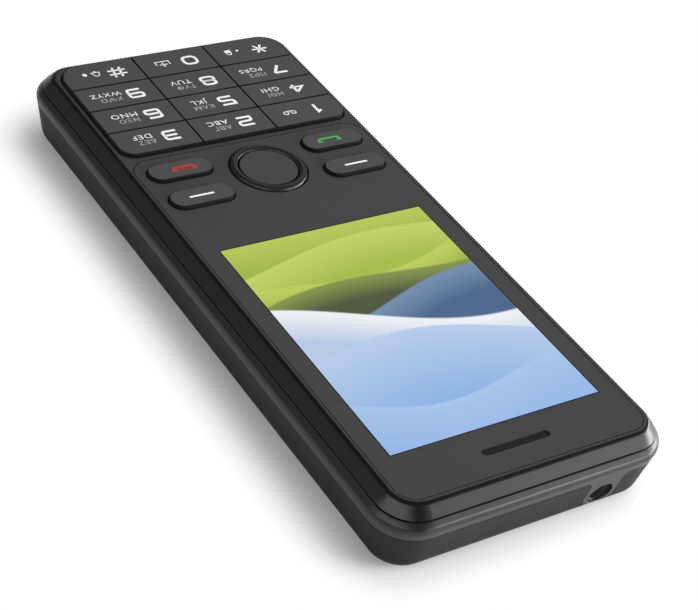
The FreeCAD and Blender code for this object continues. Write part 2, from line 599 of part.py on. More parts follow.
# ---------------------------------------------------------------- shells
def make_front_housing():
    """Front shell: rounded rim, recess for the panel, web with openings, bosses for the screws."""
    low = "(%s + seam_groove)" % SEAM
    shell = rounded_block("front_shell", "(phone_width - 2 * seam_inset)",
                          "(phone_length - 2 * seam_inset)",
                          "(corner_radius - seam_inset)", low, FACE, taper="front_draft",
                          edge="front_edge_radius")
    hollow = rounded_block("front_hollow", "(phone_width - 2 * (seam_inset + shell_wall))",
                           "(phone_length - 2 * (seam_inset + shell_wall))",
                           "(corner_radius - seam_inset - shell_wall)", "(%s - cut_through)" % SEAM,
                           WEB_UNDER)
    recess = rounded_block("panel_recess", "(phone_width - 2 * panel_margin + 2 * panel_gap)",
                           "(%s - %s + 2 * panel_gap)" % (PANEL_HIGH, PANEL_LOW),
                           "(panel_radius + panel_gap)",
                           PANEL_UNDER, "(%s + cut_through)" % FACE,
                           y="(%s + %s) / 2" % (PANEL_HIGH, PANEL_LOW))
    keypad = rounded_block("keypad_opening", "(keypad_width + 2 * keypad_gap)",
                           "(%s + 2 * keypad_gap)" % KEYPAD_LENGTH, "(keypad_low_radius + keypad_gap)",
                           "(%s - cut_through)" % WEB_UNDER, "(%s + cut_through)" % FACE,
                           y="(%s + %s) / 2" % (KEYPAD_LOW, KEYPAD_HIGH),
                           high_radius="(keypad_high_radius + keypad_gap)")
    openings = panel_openings("web", "(%s - cut_through)" % WEB_UNDER, "(%s + cut_through)" % PANEL_UNDER)
    lcd = rounded_block("lcd_opening", "(lcd_width + 2 * lcd_clearance)",
                        "(lcd_length + 2 * lcd_clearance)",
                        "lcd_opening_radius", "(%s - cut_through)" % WEB_UNDER,
                        "(%s + cut_through)" % PANEL_UNDER,
                        y=LCD_Y)
    hollowed = cut("front_hollowed", shell, [hollow, recess, keypad, lcd] + openings)
    bosses = [post("front_boss_%d" % place, "boss_radius", BOARD_TOP, "(%s + joint_overlap)" % WEB_UNDER, x,
                   y)
              for place, (x, y) in enumerate(SCREWS)]
    threads = [post("front_thread_%d" % place, "screw_shank_radius", "(%s - cut_through)" % BOARD_TOP,
                    "(%s + screw_engagement)" % BOARD_TOP, x, y) for place, (x, y) in enumerate(SCREWS)]
    node("front_housing", cut("front_housing", fuse("front_bossed", [hollowed] + bosses), threads))


def panel_openings(name, low, high):
    """Openings shared by the panel and the web: navigation key, four keys and the earpiece."""
    openings = [post(name + "_nav", "(nav_ring_radius + nav_outer_gap)", low, high, y=NAV_Y)]
    for key, side, y in FUNCTION_KEYS:
        openings.append(rounded_block("%s_%s" % (name, key), "(function_key_width + 2 * function_key_gap)",
                                      "(function_key_length + 2 * function_key_gap)",
                                      "(function_key_radius + function_key_gap)", low, high,
                                      x="(%s * function_key_offset)" % side, y=y))
    openings.append(rounded_block(name + "_slot", "earpiece_length", "earpiece_width",
                                  "(earpiece_width * round_end)",
                                  low, high, y=EARPIECE_Y))
    return openings


def make_front_panel():
    """Flat front plate, flush with the housing's rim, and the clear window that fills its opening."""
    plate = rounded_block("panel_plate", "(phone_width - 2 * panel_margin)",
                          "(%s - %s)" % (PANEL_HIGH, PANEL_LOW),
                          "panel_radius", PANEL_UNDER, FACE, y="(%s + %s) / 2" % (PANEL_HIGH, PANEL_LOW))
    opening = box("display_opening", "display_width", "display_length", "(%s - cut_through)" % PANEL_UNDER,
                  "(%s + cut_through)" % FACE, y=DISPLAY_Y)
    holes = panel_openings("panel", "(%s - cut_through)" % PANEL_UNDER, "(%s + cut_through)" % FACE)
    node("front_panel", cut("front_panel", plate, [opening] + holes))
    node("display_window",
         box("display_window", "display_width", "display_length", PANEL_UNDER, FACE, y=DISPLAY_Y))


def make_rear_frame(back):
    """Middle shell: flared band, ledge for the board, floor, battery bay, upper chamber, and the
    tongue that carries the audio socket's mouth."""
    flare = rounded_block("frame_flare", "phone_width", "phone_length", "corner_radius", RIDGE, SEAM,
                          taper="atan(seam_inset / (ridge_drop - seam_drop))")
    below = box("below_strip", "(phone_width + 4 * cut_through)", "(phone_length + 4 * cut_through)",
                "(-cut_through)", COVER_LINE)
    strip = cut("frame_strip", back, [below])
    lip = rounded_block("frame_lip", "(phone_width - 2 * (seam_inset + seam_lip))",
                        "(phone_length - 2 * (seam_inset + seam_lip))",
                        "(corner_radius - seam_inset - seam_lip)",
                        "(%s - joint_overlap)" % SEAM, "(%s + seam_groove)" % SEAM)
    tub = inside_back("frame_tub", "cover_wall + cover_fit", TUB_LOW,
                      "(back_edge_radius - cover_wall - cover_fit)")
    tongue = common("frame_tongue", back, tongue_prism("tongue", "0"))
    columns = [post("frame_column_%d" % place, "boss_radius", "(%s - joint_overlap)" % CHAMBER_LOW,
                    BOARD_UNDER, x, y)
               for place, (x, y) in enumerate(SCREWS[:2])]
    stubs = [post("frame_stub_%d" % place, "boss_radius", "(%s - joint_overlap)" % FLOOR_TOP, BOARD_UNDER,
                  x, y)
             for place, (x, y) in enumerate(SCREWS[2:])]

    above_board = rounded_block("above_board", "(phone_width - 2 * (seam_inset + shell_wall))",
                                "(phone_length - 2 * (seam_inset + shell_wall))",
                                "(corner_radius - seam_inset - shell_wall)", BOARD_UNDER,
                                "(%s + 2 * cut_through)" % SEAM)
    inset = "(%s + ledge_width)" % INSIDE
    under_board = rounded_block("under_board", "(phone_width - 2 * %s)" % inset,
                                "(phone_length - 2 * %s)" % inset,
                                "(corner_radius - %s)" % inset, FLOOR_TOP,
                                "(%s + cut_through)" % BOARD_UNDER)
    bay = rounded_block("battery_bay", "(battery_width + 2 * battery_clearance)",
                        "(battery_length + 2 * battery_clearance)", "bay_radius", "(-cut_through)",
                        FLOOR_UNDER,
                        y=BATTERY_Y)
    chamber_low_end = "(%s + divider_wall)" % BAY_HIGH
    chamber = rounded_block("upper_chamber", "(phone_width - 2 * chamber_margin)",
                            "(%s - %s)" % (CHAMBER_END, chamber_low_end), "chamber_radius", CHAMBER_LOW,
                            "(%s + cut_through)" % BOARD_UNDER,
                            y="(%s + %s) / 2" % (CHAMBER_END, chamber_low_end))
    contacts = box("contact_opening", "(contact_width + 2 * contact_clearance)",
                   "(divider_wall + 2 * cut_through)", CONTACT_LOW,
                   "(%s + cut_through)" % FLOOR_TOP, y="(%s + divider_wall / 2)" % BAY_HIGH)
    shaped = cut("frame_shaped", fuse("frame_blank", [flare, strip, lip, tub, tongue]),
                 [above_board, under_board, bay, chamber, contacts])
    holes = back_holes("frame_slot", "0", "(%s + cut_through)" % CHAMBER_LOW, "grille_clearance")
    holes.append(post("frame_camera_hole", "(camera_barrel_radius + barrel_clearance)", "0",
                      "(%s + cut_through)" % CHAMBER_LOW,
                      y=CAMERA_Y))
    holes.append(post("frame_torch_hole", "(torch_radius + guide_clearance)", "0",
                      "(%s + cut_through)" % CHAMBER_LOW,
                      x="torch_offset", y=CAMERA_Y))
    holes.append(along_y("frame_jack_hole", "jack_hole_radius", "(%s - cut_through)" % CHAMBER_END,
                         "(phone_length / 2 + 2 * cut_through)", JACK_X, JACK_Z))
    holes.append(box("frame_socket_hole", "(socket_width + 2 * socket_clearance)",
                     "(2 * (%s + ledge_width + cut_through))" % INSIDE,
                     "(%s - socket_clearance)" % SOCKET_LOW,
                     "(%s + socket_height + socket_clearance)" % SOCKET_LOW,
                     y="(-phone_length / 2)"))
    holes.append(along_y("frame_microphone_hole", "microphone_hole_radius",
                         "(-phone_length / 2 - 2 * cut_through)",
                         BOARD_END, "microphone_offset",
                         "(%s + microphone_height / 2)" % BOARD_TOP))
    for name, width, length, x in CARD_SOCKETS:
        holes.append(box("floor_window_" + name, "(%s + 2 * card_clearance)" % width,
                         "(%s + 2 * card_clearance + card_reach)" % length,
                         "(%s - cut_through)" % FLOOR_UNDER,
                         "(%s + cut_through)" % FLOOR_TOP, x=x, y="(%s + card_reach / 2)" % CARD_Y))
    for place, (x, y) in enumerate(SCREWS):
        holes.append(post("frame_shank_%d" % place, "(screw_shank_radius + screw_clearance)", "0",
                          "(%s + cut_through)" % BOARD_UNDER, x, y))
        holes.append(post("frame_head_%d" % place, "(screw_head_radius + screw_clearance)", "0",
                          "(%s + screw_head_height)" % SCREW_HEAD_LOW, x, y))
    node("rear_frame", cut("rear_frame", fuse("frame_bossed", [shaped] + columns + stubs), holes))


def make_battery_cover(back):
    """Tray that wraps the lower walls and the back, notched round the tongue."""
    above = box("above_cover", "(phone_width + 4 * cut_through)", "(phone_length + 4 * cut_through)",
                "(%s - cover_gap)" % COVER_LINE,
                "(%s + 2 * cut_through)" % RIDGE)
    hollow = inside_back("cover_hollow", "cover_wall", "cover_wall", "(back_edge_radius - cover_wall)")
    notch = tongue_prism("cover_notch", "cover_gap")
    nail = box("nail_notch", "nail_notch_width", "(4 * cover_wall)",
               "(%s - cover_gap - nail_notch_depth)" % COVER_LINE,
               "(%s + cut_through)" % COVER_LINE, y="(-phone_length / 2)")
    holes = back_holes("cover_slot", "(-cut_through)", "(cover_wall + cut_through)", "0")
    holes.append(post("cover_window_hole", "(window_radius - window_ledge)", "(-cut_through)",
                      "(cover_wall + cut_through)",
                      y=CAMERA_Y))
    holes.append(post("cover_window_seat", "(window_radius + window_clearance)", "(-cut_through)",
                      "window_thickness",
                      y=CAMERA_Y))
    holes.append(post("cover_torch_hole", "(torch_radius + 2 * guide_clearance)", "(-cut_through)",
                      "(cover_wall + cut_through)",
                      x="torch_offset", y=CAMERA_Y))
    node("battery_cover", cut("battery_cover", back, [above, hollow, notch, nail] + holes))
    node("camera_window", post("camera_window", "window_radius", "0", "window_thickness", y=CAMERA_Y))
    node("speaker_mesh",
         box("speaker_mesh", "(grille_slot_length + 2 * speaker_mesh_margin)",
             "(grille_pitch * grille_slots + speaker_mesh_margin)", "cover_wall",
             "(cover_wall + mesh_thickness)", y=SPEAKER_Y))


# ---------------------------------------------------------------- keys
def stem(name, x, y, top):
    """Round stem from under a cap down to its switch."""
    return post(name + "_stem", "stem_radius", STEM_LOW, top, x, y)


def make_number_keys():
    """Twelve caps cut from one rounded block by the grooves between them."""
    block = rounded_block("keypad_block", "keypad_width", KEYPAD_LENGTH, "keypad_low_radius", CAP_UNDER,
                          "(%s + key_rise)" % FACE, y="(%s + %s) / 2" % (KEYPAD_LOW, KEYPAD_HIGH),
                          high_radius="keypad_high_radius", edge="key_edge_radius")
    for row, names in enumerate(KEY_NAMES):
        low = row_low(row) + (" + key_groove / 2" if row > 0 else " - 1")
        high = "%s + %s" % (row_low(row), row_length(row)) + (" - key_groove / 2" if row < 3 else " + 1")
        for column, name in enumerate(names):
            left = "-column_pitch / 2 + key_groove / 2" if column > 0 else "-column_pitch / 2 - 1"
            right = "column_pitch / 2 - key_groove / 2" if column < 2 else "column_pitch / 2 + 1"
            cell = rounded_block(name + "_cell", "(%s - (%s))" % (right, left), "(%s - (%s))" % (high, low),
                                 "groove_edge_radius", "(%s - cut_through)" % CAP_UNDER,
                                 "(%s + key_rise)" % FACE,
                                 x="(%s + (%s + %s) / 2)" % (COLUMNS[column], left, right),
                                 y="((%s + %s) / 2)" % (low, high),
                                 edge="(groove_edge_radius * edge_share)")
            cap = common(name + "_cap", block, cell)
            foot = stem(name, COLUMNS[column], row_middle(row), "(%s + joint_overlap)" % CAP_UNDER)
            node(name, fuse(name, [cap, foot]))


def make_function_keys():
    """Two soft keys, the call key and the end key."""
    for name, side, y in FUNCTION_KEYS:
        x = "(%s * function_key_offset)" % side
        cap = rounded_block(name + "_cap", "function_key_width", "function_key_length",
                            "function_key_radius",
                            CAP_UNDER, "(%s + key_rise)" % FACE, x=x, y=y, edge="key_edge_radius")
        node(name, fuse(name, [cap, stem(name, x, y, "(%s + joint_overlap)" % CAP_UNDER)]))


def make_navigation():
    """Glossy tilting ring, its silicone actuator with four plungers, and the centre button."""
    inner = "(nav_button_radius + nav_inner_gap)"
    pad_top = "(%s - nav_pad_gap)" % WEB_UNDER
    pad_low = "(%s - nav_pad_gap - nav_pad_thickness)" % WEB_UNDER
    ring = new_body("ring_turned")
    sketch = sketch_on(ring, "ring_section", "XZ_Plane", "0", "0", "-" + NAV_Y)
    low = value(WEB_UNDER)
    shoulder = value(FACE)
    top = value(FACE + " + nav_ring_rise")
    inside = value(inner)
    outside = value("nav_ring_radius")
    points = [(inside, low), (outside, low), (outside, shoulder), (inside, shoulder)]
    crown = Part.Arc(FreeCAD.Vector(outside, shoulder, 0), FreeCAD.Vector((inside + outside) / 2, top, 0),
                     FreeCAD.Vector(inside, shoulder, 0))
    sketch.addGeometry([Part.LineSegment(FreeCAD.Vector(*points[k], 0), FreeCAD.Vector(*points[k + 1], 0))
                        for k in (0, 1)] + [crown, Part.LineSegment(FreeCAD.Vector(*points[3], 0),
                                                                    FreeCAD.Vector(*points[0], 0))], False)
    for first, first_end, second, second_end in ((0, 2, 1, 1), (1, 2, 2, 1), (2, 2, 3, 1), (3, 2, 0, 1)):
        sketch.addConstraint(Sketcher.Constraint("Coincident", first, first_end, second, second_end))
    sketch.addConstraint(Sketcher.Constraint("Horizontal", 0))
    sketch.addConstraint(Sketcher.Constraint("Vertical", 1))
    sketch.addConstraint(Sketcher.Constraint("Vertical", 3))
    sketch.addConstraint(Sketcher.Constraint("Horizontal", 1, 2, 3, 1))
    constrain(sketch, "inside", Sketcher.Constraint("DistanceX", -1, 1, 0, 1, inside), inner)
    constrain(sketch, "outside", Sketcher.Constraint("DistanceX", -1, 1, 0, 2, outside), "nav_ring_radius")
    constrain(sketch, "low", Sketcher.Constraint("DistanceY", -1, 1, 0, 1, low), WEB_UNDER)
    constrain(sketch, "shoulder", Sketcher.Constraint("DistanceY", -1, 1, 1, 2, shoulder), FACE)
    half = (outside - inside) / 2
    rise = top - shoulder
    radius = (half * half + rise * rise) / (2 * rise)
    half_text = "((nav_ring_radius - %s) / 2)" % inner
    constrain(sketch, "crown", Sketcher.Constraint("Radius", 2, radius),
              "(%s * %s + nav_ring_rise * nav_ring_rise) / (2 * nav_ring_rise)" % (half_text, half_text))
    turned = ring.newObject("PartDesign::Revolution", "ring_revolution")
    turned.Profile = sketch
    turned.ReferenceAxis = (sketch, ["V_Axis"])
    turned.Angle = 360
    doc.recompute()
    node("nav_ring", ring)

    disc = post("nav_pad_disc", "nav_pad_radius", pad_low, pad_top, y=NAV_Y)
    hole = post("nav_pad_hole", inner, "(%s - cut_through)" % pad_low, "(%s + cut_through)" % pad_top,
                y=NAV_Y)
    plungers = [post("nav_plunger_%d" % place, "plunger_radius", STEM_LOW, "(%s + joint_overlap)" % pad_low,
                     x,
                     "(%s + %s)" % (NAV_Y, y))
                for place, (x, y) in enumerate(PLUNGERS)]
    node("nav_pad", cut("nav_pad", fuse("nav_pad_blank", [disc] + plungers), [hole]))

    cap = rounded_block("button_cap", "(2 * nav_button_radius)", "(2 * nav_button_radius)",
                        "(nav_button_radius * full_round)", CAP_UNDER, "(%s + nav_button_rise)" % FACE,
                        y=NAV_Y,
                        edge="groove_edge_radius")
    node("nav_button",
         fuse("nav_button", [cap, stem("nav_button", "0", NAV_Y, "(%s + joint_overlap)" % CAP_UNDER)]))


def make_key_mat():
    """Silicone mat under the keys: a sheet against the web, a pad under each key, a rim on the board."""
    mat_width = "(phone_width - 2 * (seam_inset + shell_wall + mat_clearance))"
    mat_bottom = "(seam_inset + shell_wall + mat_clearance - phone_length / 2)"
    mat_top = "(%s + function_key_length / 2 + mat_overhang)" % SOFT_Y
    length = "(%s - %s)" % (mat_top, mat_bottom)
    middle = "((%s + %s) / 2)" % (mat_top, mat_bottom)
    radius = "(corner_radius - seam_inset - shell_wall - mat_clearance)"
    whole = rounded_block("mat_whole", mat_width, length, radius, BOARD_TOP, WEB_UNDER, y=middle)
    under = rounded_block("mat_under", "(%s - 2 * mat_rim)" % mat_width, "(%s - 2 * mat_rim)" % length,
                          "(%s - mat_rim)" % radius, "(%s - cut_through)" % BOARD_TOP, MAT_LOW, y=middle)
    tray = cut("mat_tray", whole, [under])
    pads = []
    holes = [post("mat_nav_hole", "(nav_pad_radius + nav_pad_clearance)", "(%s - cut_through)" % BOARD_TOP,
                  FACE,
                  y=NAV_Y)]
    for name, x, y in key_places():
        small = "" if name.startswith("key_") else "small_"
        pads.append(box(name + "_pad", small + "pad_width", small + "pad_length", MAT_LOW,
                        "(%s - mat_gap)" % CAP_UNDER, x, y))
        holes.append(post(name + "_mat_hole", "(stem_radius + stem_clearance)",
                          "(%s - cut_through)" % BOARD_TOP,
                          FACE, x, y))
    for place, (x, y) in enumerate(SCREWS[2:]):
        holes.append(post("mat_boss_hole_%d" % place, "(boss_radius + boss_clearance)",
                          "(%s - cut_through)" % BOARD_TOP, FACE,
                          x, y))
    holes.append(box("mat_socket_notch", "(socket_width + 2 * (socket_wing + socket_clearance))",
                     "(%s + phone_length / 2)" % SOCKET_NOTCH_END, "(%s - cut_through)" % BOARD_TOP,
                     "(%s + socket_height + socket_clearance)" % SOCKET_LOW,
                     y="((%s - phone_length / 2) / 2)" % SOCKET_NOTCH_END))
    holes.append(box("mat_microphone_notch", "(microphone_width + 2 * microphone_clearance)",
                     "(microphone_length + 2 * microphone_clearance)", "(%s - cut_through)" % BOARD_TOP,
                     "(%s + microphone_height + microphone_setback)" % BOARD_TOP, x="microphone_offset",
                     y=MICROPHONE_Y))
    node("key_mat", cut("key_mat", fuse("mat_padded", [tray] + pads), holes))


def make_domes():
    """Film on the board with one metal dome under every stem and plunger."""
    places = [(x, y) for name, x, y in key_places()] + [("0", NAV_Y)]
    places += [(x, "(%s + %s)" % (NAV_Y, y)) for x, y in PLUNGERS]
    film_low = "(%s - dome_radius - film_margin)" % row_middle(0)
    film_high = "(%s + function_key_length / 2)" % SOFT_Y
    film_top = "(%s + dome_film)" % BOARD_TOP
    sheet_part = box("film_sheet", "(keypad_width - 4)", "(%s - %s)" % (film_high, film_low), BOARD_TOP,
                     film_top, y="((%s + %s) / 2)" % (film_high, film_low))
    round_part = post("film_round", "nav_pad_radius", BOARD_TOP, film_top, y=NAV_Y)
    film = fuse("film_blank", [sheet_part, round_part])
    holes = [post("film_boss_hole_%d" % place, "(boss_radius + boss_clearance)",
                  "(%s - cut_through)" % BOARD_TOP,
                  FACE, x, y)
             for place, (x, y) in enumerate(SCREWS[2:])]
    node("dome_film", cut("dome_film", film, holes))
    domes = []
    for place, (x, y) in enumerate(places):
        radius = "dome_radius" if place < len(places) - len(PLUNGERS) else "small_dome_radius"
        dome = doc.addObject("Part::Cone", "dome_%d" % place)
        bind(dome, Radius1=radius, Radius2=radius + " * dome_crown", Height="dome_height",
             Placement__Base__x=x, Placement__Base__y=y, Placement__Base__z="%s + dome_film" % BOARD_TOP)
        domes.append(dome)
    node("key_domes", group("key_domes", domes))


# ---------------------------------------------------------------- display and earpiece
def make_display():
    """Display module, its sheet-metal tray with feet on the board, its ribbon and connector."""
    top = "(%s - lcd_gap)" % PANEL_UNDER
    low = "(%s - lcd_gap - lcd_thickness)" % PANEL_UNDER
    node("display_module", box("display_module", "lcd_width", "lcd_length", low, top, y=LCD_Y))
    outer = box("tray_outer", "(lcd_width + 2 * tray_wall)", "(lcd_length + 2 * tray_wall)",
                "(%s - tray_wall)" % low,
                "(%s - tray_wall + tray_height)" % low, y=LCD_Y)
    inner = box("tray_inner", "lcd_width", "lcd_length", low, "(%s + tray_height + cut_through)" % low,
                y=LCD_Y)
    gap = box("tray_ribbon_gap", "(ribbon_width + 4 * cut_through)", "(2 * tray_wall + cut_through)", low,
              "(%s + tray_height + cut_through)" % low,
              y="(%s - lcd_length / 2)" % LCD_Y)
    feet = [box("tray_foot_%d" % place, "tray_foot_width", "tray_foot_length", BOARD_TOP,
                "(%s - tray_wall / 2)" % low, x="%d * (lcd_width / 2 - tray_foot_width / 2)" % side,
                y="%s + %d * (lcd_length / 2 - tray_foot_inset)" % (LCD_Y, end))
            for place, (side, end) in enumerate(((-1, -1), (1, -1), (-1, 1), (1, 1)))]
    node("display_tray", cut("display_tray", fuse("tray_blank", [outer] + feet), [inner, gap]))
    lcd_end = "(%s - lcd_length / 2)" % LCD_Y
    ribbon_low = "(%s + connector_height)" % BOARD_TOP
    node("display_connector", box("display_connector", "connector_width", "connector_length", BOARD_TOP,
                                  ribbon_low, y="(%s - connector_length)" % lcd_end))
    node("display_ribbon", box("display_ribbon", "ribbon_width", "(1.5 * connector_length)", ribbon_low,
                               "(%s + ribbon_thickness)" % ribbon_low,
                               y="(%s - 0.75 * connector_length)" % lcd_end))


def make_earpiece():
    """Acoustic mesh in the panel's slot and the receiver capsule on the board behind it."""
    node("earpiece_mesh", rounded_block("earpiece_mesh", "earpiece_length", "earpiece_width",
                                        "(earpiece_width * round_end)",
                                        "(%s - mesh_recess - mesh_thickness)" % FACE,
                                        "(%s - mesh_recess)" % FACE, y=EARPIECE_Y))
    capsule = rounded_block("receiver_body", "receiver_width", "receiver_length",
                            "(receiver_length * round_end * edge_share)",
                            BOARD_TOP, WEB_UNDER, y=EARPIECE_Y, edge="receiver_edge_radius")
    node("earpiece_receiver", capsule)


# ---------------------------------------------------------------- electronics and battery
def make_main_board():
    """Circuit board on the frame's ledge, notched for the charging socket and drilled for screws."""
    margin = "(%s + board_clearance)" % INSIDE
    plate = rounded_block("board_plate", "(phone_width - 2 * %s)" % margin,
                          "(phone_length - 2 * %s)" % margin,
                          "(corner_radius - %s)" % margin, BOARD_UNDER, BOARD_TOP)
    notch = box("board_notch", "(socket_width + 2 * socket_clearance)",
                "(%s + phone_length / 2)" % SOCKET_NOTCH_END,
                "(%s - cut_through)" % BOARD_UNDER, "(%s + cut_through)" % BOARD_TOP,
                y="((%s - phone_length / 2) / 2)" % SOCKET_NOTCH_END)
    drills = [post("board_hole_%d" % place, "(screw_shank_radius + screw_clearance)",
                   "(%s - cut_through)" % BOARD_UNDER,
                   "(%s + cut_through)" % BOARD_TOP, x, y) for place, (x, y) in enumerate(SCREWS)]
    node("main_board", cut("main_board", plate, [notch] + drills))


def hanging_box(name, width, length, x, y, height="part_height"):
    """Component on the underside of the board."""
    return box(name, width, length, "(%s - %s)" % (BOARD_UNDER, height), BOARD_UNDER, x=x, y=y)


def make_shield(name, width, length, x, y):
    """Pressed can soldered under the board."""
    can = hanging_box(name + "_can", width, length, x, y)
    room = box(name + "_room", "(%s - 2 * sheet_metal)" % width, "(%s - 2 * sheet_metal)" % length,
               "(%s - part_height + sheet_metal)" % BOARD_UNDER, "(%s + cut_through)" % BOARD_UNDER, x=x,
               y=y)
    node(name, cut(name, can, [room]))


def make_board_parts():
    """Shields, chips, card sockets, antenna and battery contacts under the board; the microphone on it."""
    radio_y = "(%s - radio_shield_inset)" % BATTERY_HIGH
    main_y = "(%s + main_shield_offset)" % BATTERY_HIGH
    make_shield("shield_radio", "radio_shield_width", "radio_shield_length", "0", radio_y)
    make_shield("shield_processor", "main_shield_width", "main_shield_length", "0", main_y)
    chips = [hanging_box(name, width, length, x, y, "chip_height") for name, width, length, x, y in (
        ("chip_radio", "radio_chip_size", "radio_chip_size", "radio_chip_x", radio_y),
        ("chip_power", "power_chip_size", "power_chip_size", "power_chip_x", radio_y),
        ("chip_processor", "main_chip_size", "main_chip_size", "main_chip_x", main_y),
        ("chip_memory", "memory_chip_width", "memory_chip_length", "memory_chip_x", main_y))]
    node("board_chips", group("board_chips", chips))
    for name, width, length, x in CARD_SOCKETS:
        body = hanging_box(name + "_body", width, length, x, CARD_Y)
        low = "(%s - part_height + card_socket_floor)" % BOARD_UNDER
        slot = box(name + "_slot", "(%s - 2 * card_socket_wall)" % width,
                   "(%s - card_socket_wall)" % length,
                   low, "(%s + card_slot_height)" % low, x=x, y="(%s + card_socket_wall)" % CARD_Y)
        node(name, cut(name, body, [slot]))
    node("microphone", box("microphone", "microphone_width", "microphone_length", BOARD_TOP,
                           "(%s + microphone_height)" % BOARD_TOP, x="microphone_offset", y=MICROPHONE_Y))
    block = box("contact_block", "contact_width", "contact_depth", CONTACT_LOW, BOARD_UNDER,
                y="(%s + contact_depth / 2)" % BAY_HIGH)
    spring_low = "(%s + spring_rise)" % CONTACT_LOW
    springs = [box("contact_spring_%d" % (side + 1), "spring_width", "(battery_clearance + joint_overlap)",
                   spring_low, "(%s + spring_height)" % spring_low, x="%d * spring_pitch" % side,
                   y="(%s + (joint_overlap - battery_clearance) / 2)" % BAY_HIGH)
               for side in (-1, 0, 1)]
    node("battery_contacts", fuse("battery_contacts", [block] + springs))
    node("antenna", hanging_box("antenna", "antenna_width", "antenna_length", "antenna_x",
                                "(antenna_margin - phone_length / 2)", "antenna_height"))


def make_charge_socket():
    """Steel shell of the charging socket, mid-mounted in the board, with its contact tongue."""
    middle = "(%s + socket_length / 2)" % SOCKET_END
    shell = box("socket_shell_outer", "socket_width", "socket_length", SOCKET_LOW,
                "(%s + socket_height)" % SOCKET_LOW, y=middle)
    room = box("socket_room", "(socket_width - 2 * socket_wall)", "socket_length",
               "(%s + socket_wall)" % SOCKET_LOW, "(%s + socket_height - socket_wall)" % SOCKET_LOW,
               y="(%s - socket_back)" % middle)
    wings = [box("socket_wing_%d" % place, "(socket_wing + joint_overlap)", "wing_length", BOARD_TOP,
                 "(%s + wing_thickness)" % BOARD_TOP,
                 x="%d * (socket_width / 2 + socket_wing / 2 - joint_overlap / 2)" % side,
                 y="(%s + socket_length - wing_length / 2 - socket_clearance)" % SOCKET_END)
             for place, side in enumerate((-1, 1))]
    node("charge_socket", cut("charge_socket", fuse("socket_blank", [shell] + wings), [room]))
    tongue_length = "(socket_length - socket_back - charge_tongue_recess)"
    node("charge_tongue", box("charge_tongue", "charge_tongue_width", tongue_length,
                              "(%s + socket_height / 2 - charge_tongue_thickness / 2)" % SOCKET_LOW,
                              "(%s + socket_height / 2 + charge_tongue_thickness / 2)" % SOCKET_LOW,
                              y="(%s + charge_tongue_recess + %s / 2)" % (SOCKET_END, tongue_length)))


def make_audio_jack():
    """Audio socket: block in the chamber, collar through the end wall, metal sleeve, contact legs."""
    block = box("jack_block", "jack_width", "jack_length", CHAMBER_LOW, "(%s + jack_height)" % CHAMBER_LOW,
                x=JACK_X, y="(%s - jack_length / 2)" % CHAMBER_END)
    collar = along_y("jack_collar", "jack_nose_radius", "(%s - joint_overlap)" % CHAMBER_END, JACK_MOUTH,
                     JACK_X,
                     JACK_Z)
    legs = [box("jack_leg_%d" % place, "leg_width", "leg_thickness",
                "(%s + jack_height - joint_overlap)" % CHAMBER_LOW, BOARD_UNDER,
                x="(%s + %d * leg_offset)" % (JACK_X, side), y="(%s - %d)" % (CHAMBER_END, back))
            for place, (side, back) in enumerate(((-1, 3), (1, 5), (-1, 8), (1, 10)))]
    bore = along_y("jack_bore", "(jack_bore_radius + sleeve_wall)",
                   "(%s - jack_length + jack_floor)" % CHAMBER_END,
                   "(phone_length / 2 + 2 * cut_through)", JACK_X, JACK_Z)
    node("audio_jack", cut("audio_jack", fuse("jack_blank", [block, collar] + legs), [bore]))
    tube = along_y("sleeve_outer", "(jack_bore_radius + sleeve_wall)",
                   "(%s - jack_length + jack_floor)" % CHAMBER_END, "(%s - sleeve_recess)" % JACK_MOUTH,
                   JACK_X, JACK_Z)
    inside = along_y("sleeve_inner", "jack_bore_radius", "(%s - jack_length)" % CHAMBER_END,
                     "(phone_length / 2 + 2 * cut_through)", JACK_X, JACK_Z)
    node("jack_sleeve", cut("jack_sleeve", tube, [inside]))


def make_chamber_parts():
    """Rear camera, torch, loudspeaker and vibration motor in the upper chamber."""
    holder = box("camera_holder", "camera_size", "camera_size", CHAMBER_LOW,
                 "(%s + camera_height)" % CHAMBER_LOW,
                 y=CAMERA_Y)
    barrel = post("camera_barrel", "camera_barrel_radius", "(%s + barrel_recess)" % TUB_LOW,
                  "(%s + joint_overlap)" % CHAMBER_LOW,
                  y=CAMERA_Y)
    node("camera_module", fuse("camera_module", [holder, barrel]))
    node("torch_led", hanging_box("torch_led", "torch_led_size", "torch_led_size", "torch_offset", CAMERA_Y,
                                  "torch_led_height"))
    node("torch_guide",
         post("torch_guide", "torch_radius", "torch_recess", "(%s - torch_led_height)" % BOARD_UNDER,
                             x="torch_offset", y=CAMERA_Y))
    case = rounded_block("speaker_case", "speaker_width", "speaker_length", "speaker_radius", CHAMBER_LOW,
                         "(%s + speaker_height)" % CHAMBER_LOW, y=SPEAKER_Y)
    pins = [box("speaker_pin_%d" % place, "speaker_pin_size", "speaker_pin_size",
                "(%s + speaker_height - joint_overlap)" % CHAMBER_LOW,
                BOARD_UNDER,
                x="%d * (speaker_width / 2 - speaker_pin_inset)" % side,
                y="(%s + speaker_length / 2 - speaker_pin_setback)" % SPEAKER_Y)
            for place, side in enumerate((-1, 1))]
    node("loudspeaker", fuse("loudspeaker", [case] + pins))
    node("vibration_motor", post("vibration_motor", "motor_radius", CHAMBER_LOW,
                                 "(%s + motor_height)" % CHAMBER_LOW, x="motor_offset",
                                 y="(%s - motor_setback)" % CAMERA_Y))


def make_battery():
    """Removable battery, against the frame's floor."""
    node("battery", rounded_block("battery", "battery_width", "battery_length", "battery_radius",
                                  "(%s - battery_thickness)" % FLOOR_UNDER, FLOOR_UNDER, y=BATTERY_Y))


